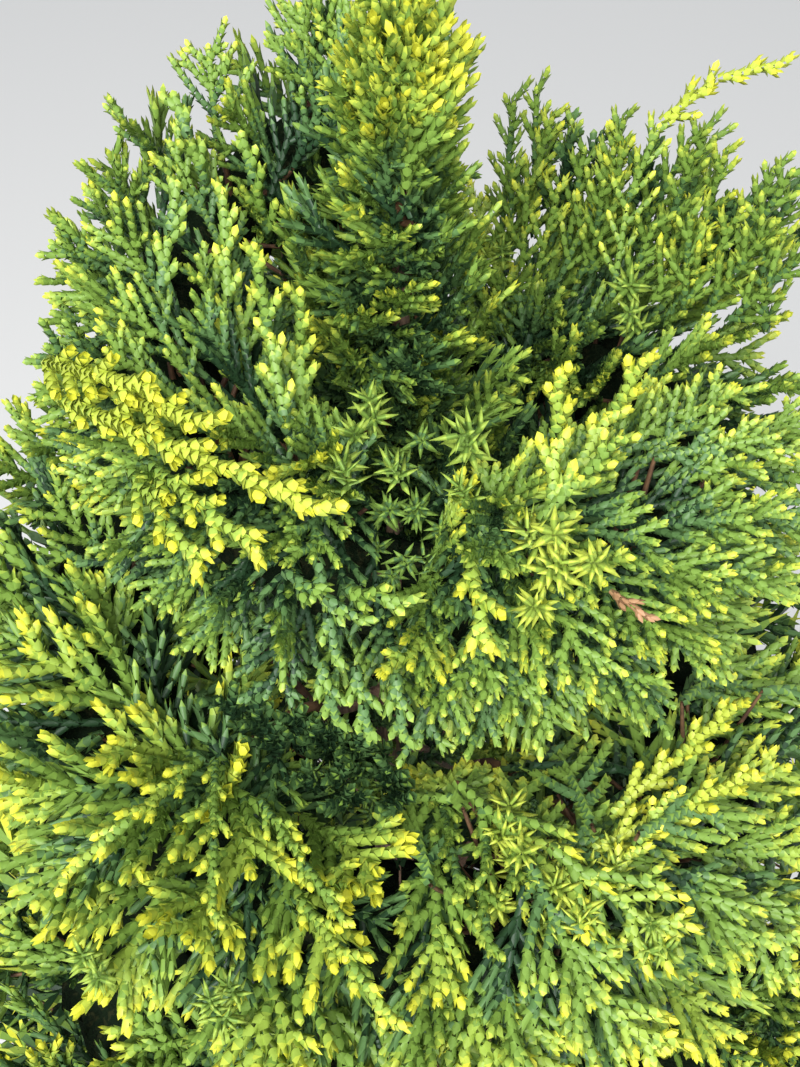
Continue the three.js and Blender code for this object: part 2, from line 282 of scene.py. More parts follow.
class Finish:
    """A material with a Principled shader, and the one method that adds its other nodes."""

    def __init__(self, name, color, roughness, **constants):
        self.material = bpy.data.materials.new(name)
        self.material.use_nodes = True
        self.material.diffuse_color = (*color, 1)
        self.tree = self.material.node_tree
        self.shader = self.tree.nodes["Principled BSDF"]
        self.shader.inputs["Base Color"].default_value = (*color, 1)
        self.shader.inputs["Roughness"].default_value = roughness
        for socket, value in constants.items():
            self.shader.inputs[socket.replace("_", " ")].default_value = value

    def node(self, kind, settings, values, output=0):
        made = self.tree.nodes.new(kind)
        for key, value in settings.items():
            setattr(made, key, value)
        for key, value in values.items():
            if isinstance(value, Shade):
                self.tree.links.new(value.socket, made.inputs[key])
            else:
                made.inputs[key].default_value = value
        return Shade(self, made.outputs[output])

    def place(self, stretch=(1, 1, 1)):
        where = self.node("ShaderNodeTexCoord", {}, {}, "Object")
        return self.node("ShaderNodeMapping", {}, {"Vector": where, "Scale": stretch})

    def noise(self, where, size_mm, detail=3, roughness=0.55):
        scale = 1 / (size_mm * MM)
        values = {"Vector": where, "Scale": scale, "Detail": detail, "Roughness": roughness}
        return self.node("ShaderNodeTexNoise", {}, values)

    def blend(self, factor, first, second):
        values = {"Factor": factor, 6: first, 7: second}
        return self.node("ShaderNodeMix", {"data_type": "RGBA"}, values, 2)

    def drive(self, socket, value):
        self.tree.links.new(value.socket, self.shader.inputs[socket])

    def tint(self, mask, dark, pale):
        self.drive("Base Color", self.blend(mask, dark, pale))

    def bump(self, height, depth_mm, strength=1.0):
        values = {"Height": height, "Distance": depth_mm * MM, "Strength": strength}
        self.drive("Normal", self.node("ShaderNodeBump", {}, values))


# The tones of the foliage, from the shaded leaves inside to the palest young tips
LEAF_TONES = {
    "leaf_deep_green": (0.02, 0.054, 0.02),
    "leaf_blue_green": (0.088, 0.178, 0.054),
    "leaf_mid_green": (0.17, 0.285, 0.046),
    "leaf_fresh_green": (0.285, 0.4, 0.056),
    "leaf_lime": (0.44, 0.52, 0.06),
    "leaf_yellow": (0.63, 0.64, 0.05),
    "leaf_pale_yellow": (0.84, 0.8, 0.2),
    "leaf_dry": (0.36, 0.2, 0.1),
}
DEEP, BLUE, MID, FRESH, LIME, YELLOW, PALE, DRY = range(len(LEAF_TONES))

# For each palette, the tones of a shoot's leaves from its foot to its tip
PALETTES = np.array(
    [
        [DEEP, DEEP, DEEP, DEEP, BLUE, BLUE, MID],
        [DEEP, DEEP, BLUE, BLUE, MID, MID, FRESH],
        [DEEP, BLUE, BLUE, MID, MID, FRESH, LIME],
        [BLUE, MID, MID, MID, FRESH, LIME, YELLOW],
        [MID, MID, FRESH, FRESH, LIME, YELLOW, YELLOW],
        [FRESH, LIME, LIME, LIME, LIME, YELLOW, YELLOW],
        [BLUE, BLUE, MID, MID, MID, FRESH, PALE],
        [MID, FRESH, MID, FRESH, FRESH, LIME, PALE],
        [DRY] * 7,
    ]
)
SHADED, PLAIN, YOUNG, BRIGHT, GOLDEN, GILDED, JUVENILE, PALE_JUVENILE, DEAD = range(len(PALETTES))


def leaf_finishes():
    made = []
    for name, color in LEAF_TONES.items():
        finish = Finish(name, color, 0.5, Specular_IOR_Level=0.32, Coat_Weight=0.06, Coat_Roughness=0.35)
        where = finish.place()
        finish.bump(finish.noise(where, 0.9, 2), 0.12, 0.6)
        made.append(finish.material)
    return made


def bark_finish():
    finish = Finish("bark", (0.2, 0.11, 0.07), 0.85)
    strips = finish.noise(finish.place((1, 1, 0.12)), 2.2, 5, 0.65)
    patches = finish.noise(finish.place((1, 1, 0.5)), 18, 3)
    brown = finish.blend(strips.over(0.52, 0.16), (0.055, 0.03, 0.02, 1), (0.3, 0.18, 0.12, 1))
    finish.tint(patches.over(0.56, 0.1) * 0.55, brown, (0.26, 0.22, 0.18, 1))
    finish.drive("Roughness", 0.72 + 0.22 * strips)
    finish.bump(strips, 0.7)
    return finish.material


def twig_finish():
    finish = Finish("twig_bark", (0.14, 0.07, 0.032), 0.7)
    spots = finish.noise(finish.place(), 3.5, 3)
    finish.tint(spots.over(0.5, 0.15), (0.08, 0.038, 0.02, 1), (0.19, 0.1, 0.045, 1))
    finish.bump(spots, 0.2)
    return finish.material


def painted_shade_finish():
    # Near black with faint random flecks: painted shade deep inside the foliage
    finish = Finish("inner_painted_shade", (0.01, 0.012, 0.006), 0.95, Specular_IOR_Level=0.1)
    flecks = finish.noise(finish.place(), 2.6, 4, 0.7)
    finish.tint(flecks.over(0.58, 0.07), (0.006, 0.013, 0.005, 1), (0.022, 0.026, 0.01, 1))
    finish.bump(flecks, 2.0)
    return finish.material


def pot_finish():
    finish = Finish("pot_plastic", (0.012, 0.013, 0.015), 0.45)
    where = finish.place()
    grain = finish.noise(where, 0.8, 2)
    dust = finish.noise(finish.place((1, 1, 0.35)), 30, 4, 0.6)
    dusty = dust.over(0.6, 0.14) * 0.35
    finish.tint(dusty, (0.011, 0.012, 0.014, 1), (0.09, 0.078, 0.066, 1))
    finish.drive("Roughness", 0.38 + 0.12 * grain + 0.25 * dusty)
    finish.bump(grain, 0.06)
    return finish.material


def compost_finish():
    finish = Finish("compost", (0.03, 0.02, 0.013), 0.95)
    where = finish.place()
    crumbs = finish.noise(where, 4, 6, 0.7)
    damp = finish.noise(where, 40, 2)
    dark = finish.blend(crumbs.over(0.52, 0.15), (0.012, 0.008, 0.005, 1), (0.075, 0.047, 0.03, 1))
    finish.tint(damp.over(0.55, 0.15) * 0.4, dark, (0.02, 0.013, 0.009, 1))
    finish.drive("Roughness", 0.8 + 0.18 * crumbs)
    finish.bump(crumbs, 1.2)
    return finish.material


def chip_finish():
    finish = Finish("bark_chips", (0.1, 0.06, 0.035), 0.9)
    grain = finish.noise(finish.place(), 3, 4)
    finish.tint(grain, (0.035, 0.02, 0.012, 1), (0.2, 0.125, 0.075, 1))
    finish.bump(grain, 0.4)
    return finish.material


def floor_finish():
    return Finish("studio_floor", (0.72, 0.71, 0.69), 0.8).material


def new_piece(name, points, triangles, materials, tones=None, smooth=True):
    """A mesh object from arrays of points in millimetres and triangles, each with a material by number."""
    mesh = bpy.data.meshes.new(name)
    mesh.vertices.add(len(points))
    mesh.vertices.foreach_set("co", (np.asarray(points) * MM).astype(np.float32).ravel())
    mesh.loops.add(3 * len(triangles))
    mesh.loops.foreach_set("vertex_index", np.asarray(triangles, np.int32).ravel())
    mesh.polygons.add(len(triangles))
    mesh.polygons.foreach_set("loop_start", np.arange(0, 3 * len(triangles), 3, dtype=np.int32))
    if tones is not None:
        mesh.polygons.foreach_set("material_index", np.asarray(tones, np.int32))
    mesh.polygons.foreach_set("use_smooth", np.broadcast_to(smooth, len(triangles)))
    mesh.update(calc_edges=True)
    for material in materials:
        mesh.materials.append(material)
    piece = bpy.data.objects.new(name, mesh)
    bpy.context.scene.collection.objects.link(piece)
    return piece


def stand_in(piece, node):
    """Puts a piece in the place of a node of the fixed solids."""
    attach(piece, "root")
    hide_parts(node)


def joined(parts):
    """One array of points and one of triangles from a list of (points, triangles)."""
    starts = np.cumsum([0] + [len(points) for points, _ in parts])
    points = np.concatenate([points for points, _ in parts])
    triangles = np.concatenate([np.asarray(faces) + start for (_, faces), start in zip(parts, starts)])
    return points, triangles


def facing_out(points, triangles, middle):
    """Triangles turned so that their normals point away from a middle point."""
    corner = points[triangles]
    normal = np.cross(corner[:, 1] - corner[:, 0], corner[:, 2] - corner[:, 0])
    inward = np.einsum("ij,ij->i", normal, corner.mean(1) - middle) < 0
    triangles[inward] = triangles[inward][:, ::-1]
    return triangles


class Template:
    """A shoot of length and radius 1 along +X. A face's class runs from 0 at its foot to 6 at its tip."""

    def __init__(self, points, triangles, classes, smooth=True):
        self.points = np.array(points, float)
        self.triangles = np.array(triangles, int)
        self.classes = np.clip(classes, 0, 6)
        self.smooth = smooth


def ring_point(along, reach, angle):
    return [along, reach * math.cos(angle), reach * math.sin(angle)]


# How far leaf tips stand off from their shoot, and a scale leaf's points but for its tip: how many pitches
# along the shoot from the foot of its pair, how far out from the shoot's middle, and at what angle round it
CLOSE_SPREAD = 0.22
OPEN_SPREAD = 0.42
AWL_SPREAD = 1.0
BEAD_SPREAD = 0.06
LEAFY_SHARE = 0.96
SHOULDER = 0.55
LEAF_POINTS = [
    (-0.4, 0.72, -1.4), (-0.4, 0.84, 0), (-0.4, 0.72, 1.4),
    (SHOULDER, 0.96, -1.1), (SHOULDER, 1.1, 0), (SHOULDER, 0.96, 1.1),
]
LEAF_FACES = [[0, 1, 4], [0, 4, 3], [1, 2, 5], [1, 5, 4], [3, 4, 6], [4, 5, 6]]


def scale_shoot(pairs, seed, spread):
    """A shoot clothed in crossed pairs of scale leaves. Each leaf clasps half of the stem, is keeled and
    laps over the pair above, with its tip standing off. The last pair closes into a bud."""
    rng = np.random.default_rng(seed)
    points, triangles, classes = [], [], []
    pitch = LEAFY_SHARE / pairs
    for pair in range(pairs):
        foot = pair * pitch
        to_tip = pairs - 1 - pair
        width = (1 - 0.1 * foot) * (0.94 if to_tip == 0 else 1)
        for side in range(2):
            angle = math.pi * side + math.pi / 2 * (pair % 2) + rng.normal(0, 0.12)
            out = 1.14 + spread * (0.5 + rng.random())
            tip = foot + (1.25 + 0.25 * rng.random()) * pitch
            if to_tip == 0:
                out = 0.55 + 0.3 * rng.random()
                tip = foot + (1.05 + 0.15 * rng.random()) * pitch
            leaf = []
            for along, off, turn in LEAF_POINTS:
                leaf.append(ring_point(foot + along * pitch, off * width, angle + turn))
            leaf.append(ring_point(tip, out * width, angle))
            middle = np.array([foot + SHOULDER * pitch, 0, 0])
            faces = facing_out(np.array(leaf), np.array(LEAF_FACES), middle)
            triangles += (faces + len(points)).tolist()
            points += leaf
            place = 5 - to_tip if to_tip < 3 else max(0, 3 - (to_tip - 1) // 4)
            classes += [place] * 4 + [place + 1] * 2
    return Template(points, triangles, classes)


NEEDLE_HALF_ANGLE = 0.3
NEEDLE_REACH = 3.4
NEEDLE_FACES = [
    [0, 3, 1], [1, 3, 4], [0, 2, 5], [0, 5, 3], [2, 1, 4],
    [2, 4, 5], [3, 6, 4], [3, 5, 6], [5, 4, 6],
]


def needle_shoot(whorls, seed):
    """A juvenile shoot: whorls of three spreading awl-shaped leaves, pale along their upper side."""
    rng = np.random.default_rng(seed)
    points, triangles, classes = [], [], []
    for whorl in range(whorls):
        foot = 0.8 * whorl / whorls
        rise = 0.16 + 0.5 * foot**2
        for side in range(3):
            angle = TAU / 3 * side + math.pi / 3 * (whorl % 2) + rng.normal(0, 0.15)
            out = NEEDLE_REACH * (0.85 + 0.3 * rng.random()) * (1 - 0.5 * foot)
            near, mid = foot + 0.4 * rise, 0.45 * out
            leaf = [
                ring_point(foot, 0.35, angle - 0.9),
                ring_point(foot, 0.35, angle + 0.9),
                ring_point(foot - 0.03, 0.4, angle),
                ring_point(near, mid, angle - NEEDLE_HALF_ANGLE),
                ring_point(near, mid, angle + NEEDLE_HALF_ANGLE),
                ring_point(near - 0.05, mid + 0.1, angle),
                ring_point(foot + rise, out, angle),
            ]
            triangles += (np.array(NEEDLE_FACES) + len(points)).tolist()
            points += leaf
            place = 1 + round(3 * foot)
            classes += [4, 3, place, place, place, place, 5, place + 1, place + 1]
    return Template(points, triangles, classes)


def cord_shoot(rings):
    """A plainer shoot for the sides seen from further off: tapering, and knobbly with leaf tips."""
    points, triangles, classes = [], [], []
    for ring in range(rings):
        along = LEAFY_SHARE * (ring / rings) ** 0.9
        swell = 1.3 if ring % 2 else 0.8
        width = swell * (1 - 0.35 * along)
        for side in range(3):
            angle = TAU / 3 * side + math.pi / 3 * (ring % 2)
            points.append(ring_point(along + (0.5 / rings if ring % 2 else 0), width, angle))
    points.append([1.02, 0, 0])
    for ring in range(rings - 1):
        place = round(5.2 * ring / (rings - 1))
        for side in range(3):
            a, b = 3 * ring + side, 3 * ring + (side + 1) % 3
            c, d = a + 3, b + 3
            triangles += [[a, b, d], [a, d, c]] if ring % 2 else [[a, b, c], [b, d, c]]
            classes += [place, place + 1]
    last = 3 * (rings - 1)
    for side in range(3):
        triangles.append([last + side, last + (side + 1) % 3, 3 * rings])
        classes.append(6)
    return Template(points, triangles, classes, smooth=False)


# How far apart the leaf pairs, rings or whorls stand along a shoot, in mm
LEAF_PITCH = 1.12
DEEP_PITCH = 1.7
COARSE_PITCH = 2.6
PLUME_PITCH = 1.3
SPIKY_PITCH = 1.65
CORD_STEP = 4.6
NEAR_CORD_STEP = 3.0
NEEDLE_STEP = 2.0


def by_pairs(*variants):
    """Templates for each number of pairs of leaves, one for every seed and spread."""
    return {n: [scale_shoot(n, seed + n, spread) for seed, spread in variants] for n in range(2, 31)}


FINE = by_pairs((40, CLOSE_SPREAD), (80, OPEN_SPREAD))
SPIKY = by_pairs((140, AWL_SPREAD), (180, AWL_SPREAD))
BEADS = by_pairs((220, BEAD_SPREAD))
CORDS = {n: [cord_shoot(n)] for n in range(3, 12)}
NEEDLES = {n: [needle_shoot(n, 20 + n)] for n in range(3, 7)}


class Shoots:
    """Arrays that describe many shoots: each one's foot, heading, upper side, size, bend and palette."""

    FIELDS = ("foot", "axis", "upper", "length", "radius", "bend", "palette")

    def __init__(self, **arrays):
        for field in self.FIELDS:
            setattr(self, field, arrays[field])

    def where(self, mask):
        return Shoots(**{field: getattr(self, field)[mask] for field in self.FIELDS})

    @staticmethod
    def together(several):
        arrays = {field: [getattr(shoots, field) for shoots in several] for field in Shoots.FIELDS}
        return Shoots(**{field: np.concatenate(parts) for field, parts in arrays.items()})

    def tips(self):
        return self.foot + self.axis * self.length[:, None] + self.bend

    def meshes(self, template):
        """Points, triangles, tones and smoothness of these shoots, each a bent copy of the template."""
        side = np.cross(self.upper, self.axis)
        along, across, up = template.points.T
        points = self.foot[:, None] + scaled(self.axis, along * self.length[:, None])
        points += scaled(side, across * self.radius[:, None])
        points += scaled(self.upper, up * self.radius[:, None])
        points += scaled(self.bend, along[None] ** 2)
        count = len(template.points)
        starts = count * np.arange(len(self.foot))[:, None, None]
        triangles = (template.triangles[None] + starts).reshape(-1, 3)
        tones = PALETTES[self.palette][:, template.classes].ravel()
        return points.reshape(-1, 3), triangles, tones, np.full(len(triangles), template.smooth)


def clothe(shoots, library, steps):
    """Meshes for shoots from a library of templates. Each takes one whose leaf count suits its length."""
    counts = np.array(sorted(library))
    wanted = np.clip(np.round(shoots.length / steps), counts[0], counts[-1]).astype(int)
    made = []
    for count in counts:
        for turn, template in enumerate(library[count]):
            mask = (wanted == count) & (np.arange(len(wanted)) % len(library[count]) == turn)
            if mask.any():
                made.append(shoots.where(mask).meshes(template))
    return made


# How side shoots leave their leading shoot. Those on its lower part are a palette darker, as painted shade.
SIDE_ANGLE = math.radians(40)
SIDE_REACH = 17.5
CURL_ONWARD = 0.26
CURL_UP = 0.05
LOWER_PART = 0.42
LEADER_RADIUS = 1.1
SUB_CHANCE = 0.5
SUB_LEAST_LENGTH = 7


def side_shoots(rng, parent, at, angle, reach, thinner):
    """Side shoots of many shoots, left and right in turn, at given shares of their length."""
    count, steps = at.shape
    sign = np.where(np.arange(steps) % 2, 1.0, -1.0) * np.ones((count, 1))
    roll = rng.normal(0, 0.22, (count, steps))
    side = np.cross(parent.upper, parent.axis)
    out = scaled(side, sign * np.cos(roll)) + scaled(parent.upper, np.sin(roll))
    axis = unit(scaled(parent.axis, np.cos(angle)) + out * np.sin(angle)[..., None])
    start = parent.foot[:, None] + scaled(parent.axis, at * parent.length[:, None])
    start = start + scaled(parent.bend, at**2)
    tall = perpendicular(np.broadcast_to(parent.upper[:, None], axis.shape), axis)
    curl = scaled(parent.axis, CURL_ONWARD * reach) + scaled(parent.upper, CURL_UP * reach)
    # Painted shade: shoots on the lower part of a spray take the next darker palette
    lower = (at < LOWER_PART) & ((parent.palette > SHADED) & (parent.palette < JUVENILE))[:, None]
    return Shoots(
        foot=start.reshape(-1, 3),
        axis=axis.reshape(-1, 3),
        upper=tall.reshape(-1, 3),
        length=reach.ravel(),
        radius=np.repeat(thinner * parent.radius, steps),
        bend=curl.reshape(-1, 3),
        palette=(parent.palette[:, None] - lower).ravel(),
    )


def spray_shoots(rng, tip, heading, upper, length, scale, palette, steps, subs=0):
    """The shoots of many sprays. Each is a leading shoot with side shoots that fan out of it, left and
    right in turn, and smaller shoots on those."""
    count = len(tip)
    scale = np.full(count, scale)
    arch = (rng.random(count) - 0.3) * 0.12 * length
    leader = Shoots(
        foot=tip - heading * length[:, None],
        axis=heading,
        upper=upper,
        length=length,
        radius=LEADER_RADIUS * scale,
        bend=-upper * arch[:, None],
        palette=palette,
    )
    at = 0.14 + 0.74 * (np.arange(steps) + rng.random((count, steps)) * 0.6) / steps
    angle = SIDE_ANGLE * (0.8 + 0.45 * rng.random((count, steps)))
    reach = SIDE_REACH * scale[:, None] * (1 - 0.62 * at) * (0.8 + 0.4 * rng.random((count, steps)))
    sides = side_shoots(rng, leader, at, angle, reach, 0.96)
    if not subs:
        return Shoots.together([leader, sides])
    long_ones = sides.where(sides.length > SUB_LEAST_LENGTH * np.repeat(scale, steps))
    many = len(long_ones.length)
    at = 0.18 + 0.55 * (np.arange(subs) + rng.random((many, subs)) * 0.8) / subs
    angle = SIDE_ANGLE * (0.8 + 0.4 * rng.random((many, subs)))
    reach = long_ones.length[:, None] * (0.5 - 0.3 * at) * (0.75 + 0.5 * rng.random((many, subs)))
    small = side_shoots(rng, long_ones, at, angle, reach, 0.92)
    return Shoots.together([leader, sides, small.where(rng.random(len(small.length)) < SUB_CHANCE)])


def tube_triangles(rings, sides):
    """The triangles of a tube's side, ring after ring."""
    first = np.arange(rings - 1)[:, None] * sides
    now = first + np.arange(sides)[None]
    after = first + (np.arange(sides)[None] + 1) % sides
    lower = np.stack([now, after, after + sides], -1)
    upper = np.stack([now, after + sides, now + sides], -1)
    return np.concatenate([lower.reshape(-1, 3), upper.reshape(-1, 3)])


def end_triangles(rings, sides):
    """The triangles of a tube's two ends, round a middle point each, which follow the ring points."""
    around = np.arange(sides)
    following = (around + 1) % sides
    last = (rings - 1) * sides
    low = np.stack([following, around, np.full(sides, rings * sides)], -1)
    high = np.stack([last + around, last + following, np.full(sides, rings * sides + 1)], -1)
    return np.concatenate([low, high])


def tube(path, radii, sides, caps=True):
    """A closed tube through points, with a radius at each."""
    path = np.asarray(path, float)
    radii = np.asarray(radii, float)
    tangent = unit(np.gradient(path, axis=0))
    reference = UP if abs(tangent[0][2]) < 0.9 else np.array([1.0, 0, 0])
    across = unit(np.cross(reference, tangent))
    other = np.cross(tangent, across)
    angles = TAU * np.arange(sides)[None] / sides
    ring = scaled(across, np.cos(angles)) + scaled(other, np.sin(angles))
    points = (path[:, None] + ring * radii[:, None, None]).reshape(-1, 3)
    triangles = tube_triangles(len(path), sides)
    if caps:
        points = np.concatenate([points, path[:1], path[-1:]])
        triangles = np.concatenate([triangles, end_triangles(len(path), sides)])
    return points, triangles


def bezier(start, bend, end, steps):
    t = np.linspace(0, 1, steps + 1)[:, None]
    return (1 - t) ** 2 * start + 2 * t * (1 - t) * bend + t**2 * end


def trunk_share(z):
    return (z - TRUNK_FOOT) / (TRUNK_TOP - TRUNK_FOOT)


def trunk_centre(z):
    share = trunk_share(z)
    x = TRUNK_SWAY_X * (1 - share) * np.sin(2.2 * math.pi * share)
    y = TRUNK_SWAY_Y * (1 - share) * np.sin(1.6 * math.pi * share)
    return np.stack(np.broadcast_arrays(x, y, z), -1)


def trunk_radius_at(z):
    plain = TRUNK_RADIUS + (TRUNK_TIP_RADIUS - TRUNK_RADIUS) * trunk_share(z)
    flare = np.maximum(0, 1 - (z - TRUNK_FOOT) / FLARE_HEIGHT)
    return plain + (FLARE_RADIUS - TRUNK_RADIUS) * flare**2


# Rings, sides and bark depth of the trunk and of a bough
TRUNK_RINGS = 190
TRUNK_SIDES = 44
TRUNK_BARK = 1.1
BOUGH_RINGS = 27
BOUGH_SIDES = 16
BOUGH_BARK = 0.8


class Bough:
    """The limb of one quarter: its curve from the trunk and its radii, as in the part's source."""

    def __init__(self, quarter):
        turns = FIRST_TURN + (quarter + 0.5) * WIDTH
        section = Section(turns)
        outward = outward_at(angle_at(turns))
        self.tip = crown_point(turns, section.inner - BOUGH_END_GAP, 0)
        foot = trunk_centre(self.tip[2] - BOUGH_RISE * section.inner)
        trunk_radius = trunk_radius_at(foot[2])
        self.root = foot + outward * (trunk_radius + SEAT_GAP)
        self.bend = self.root + outward * 0.5 * np.linalg.norm(self.tip - self.root)
        self.root_radius = max(BOUGH_ROOT_SHARE * trunk_radius, STEM_RADIUS)
        self.tip_radius = max(BOUGH_TIP_SHARE * trunk_radius, STEM_RADIUS)
        self.heart = crown_point(turns, section.middle, 0)


def bark_relief(point, depth):
    """How far bark stands out at a point: long peeling strips that run up the limb."""
    strips = noise.noise(Vector((point[0] * 0.55, point[1] * 0.55, point[2] * 0.045)))
    fibres = noise.noise(Vector((point[0] * 1.6 + 9, point[1] * 1.6, point[2] * 0.14)))
    ridges = 1 - 2 * abs(strips)
    return depth * (0.7 * ridges + 0.45 * fibres)


def limb_with_bark(path, radii, sides, depth):
    """A tube whose sides carry bark relief. Its ends stay as they are."""
    points, triangles = tube(path, radii, sides)
    rings = len(path)
    for ring in range(rings):
        fade = min(1.0, 3 * min(ring, rings - 1 - ring) / rings)
        for i in range(ring * sides, (ring + 1) * sides):
            outward = points[i] - path[ring]
            reach = np.linalg.norm(outward)
            local = depth * min(1.0, radii[ring] / 6)
            points[i] += outward / reach * (bark_relief(points[i], local) * fade - 0.35 * local)
    return points, triangles


def make_trunk(bark):
    t = np.linspace(0, 1, TRUNK_RINGS) ** 1.25
    z = TRUNK_FOOT + (TRUNK_TOP - TRUNK_FOOT) * t
    mesh = limb_with_bark(trunk_centre(z), trunk_radius_at(z), TRUNK_SIDES, TRUNK_BARK)
    stand_in(new_piece("trunk_bark", *mesh, [bark]), "trunk")


def make_bough(quarter, bark):
    name = place_name(quarter)
    bough = Bough(quarter)
    path = bezier(bough.root, bough.bend, bough.tip, BOUGH_RINGS - 1)
    t = np.linspace(0, 1, BOUGH_RINGS)
    radii = bough.tip_radius + (bough.root_radius - bough.tip_radius) * (1 - t) ** 1.6
    piece = new_piece(f"bough_bark_{name}", *limb_with_bark(path, radii, BOUGH_SIDES, BOUGH_BARK), [bark])
    stand_in(piece, f"bough_{name}")


# How closely the sprays stand, as square mm of skin for each, and how large they are: fine ones where the
# photograph shows them, larger and plainer ones elsewhere
FINE_AREA = 390
FINE_SCALES = {0: 0.7, 1: 0.75, 2: 0.81, 3: 0.9, 4: 1.0, 5: 1.35, 6: 1.15}
LOWER_FINE_SCALE = 1.2
LONGEST_STRETCH = 1.15
PLAIN_AREA = 500
TOP_AREA = 560
INNER_AREA = 1300
DEEP_AREA = 560
PLAIN_SCALE = 1.2
TOP_SCALE = 1.1
DEEP_SCALE = 0.9
WELL_SCALE = 0.75
SPRAY_LENGTH = 32
SPRAY_REACH = 0.9
INNER_REACH = 0.74
SKIN_STEPS = 180
SIDE_SLACK = 16
ROOM_SLACK = 3
LEAST_TIP_SHARE = 0.45
LEAST_ROOT_SHARE = 0.8
LEAST_WELL_SHARE = 0.1
PALETTE_LIMITS = [0.22, 0.4, 0.6, 0.86]
FAR_STRETCH = 1.4
LAST_NEAR_QUARTER = 6
NEAR_SEED, FAR_SEED, INNER_SEED, DEEP_SEED, WELL_SEED, TWIG_SEED = 300, 400, 500, 600, 700, 900
FROND_SEED, ROSETTE_SEED, END_SEED, PLUME_SEED, CHIP_SEED = 1100, 1200, 1300, 77, 5

# Spiky shoots round the trunk, by quarter
WELL_SPRAYS = {0: 32, 1: 44, 2: 44, 3: 30, 4: 16, 5: 16, 6: 16}

# Quarters whose shoots are more golden or greener than their place alone makes them. The shift paints light
# on the lower quarters and shade on the top ones, as well as changing their colour.
GLOW = {0: -0.1, 1: -0.12, 2: -0.02, 3: -0.12, 5: 0.16, 6: 0.06}

# Where the photograph's domes of shoots radiate from, by quarter
DOME_CENTRES = {1: (335, 440), 2: (470, 480), 3: (500, 330), 5: (215, 760), 6: (500, 745)}
DOME_DEPTH = 9


def in_room(points, quarter, least_share=LEAST_TIP_SHARE):
    """True where points lie in the space of a quarter's foliage, with a little slack, and no nearer to the
    trunk than a share of the band's inner radius."""
    start = FIRST_TURN + quarter * WIDTH
    radius = np.hypot(points[:, 0], points[:, 1])
    turn = (np.arctan2(points[:, 1], points[:, 0]) - angle_at(start)) / TAU
    turn = turn - np.floor(turn + WIDTH)
    section = Section(start + np.clip(turn, 0, WIDTH))
    height = points[:, 2] - section.z - UPTURN * (radius - section.middle)
    to_side = radius * np.sin(TAU * np.minimum(turn, WIDTH - turn))
    level = np.abs(height) < section.room + ROOM_SLACK
    return level & (to_side > -SIDE_SLACK) & (radius > least_share * section.inner)


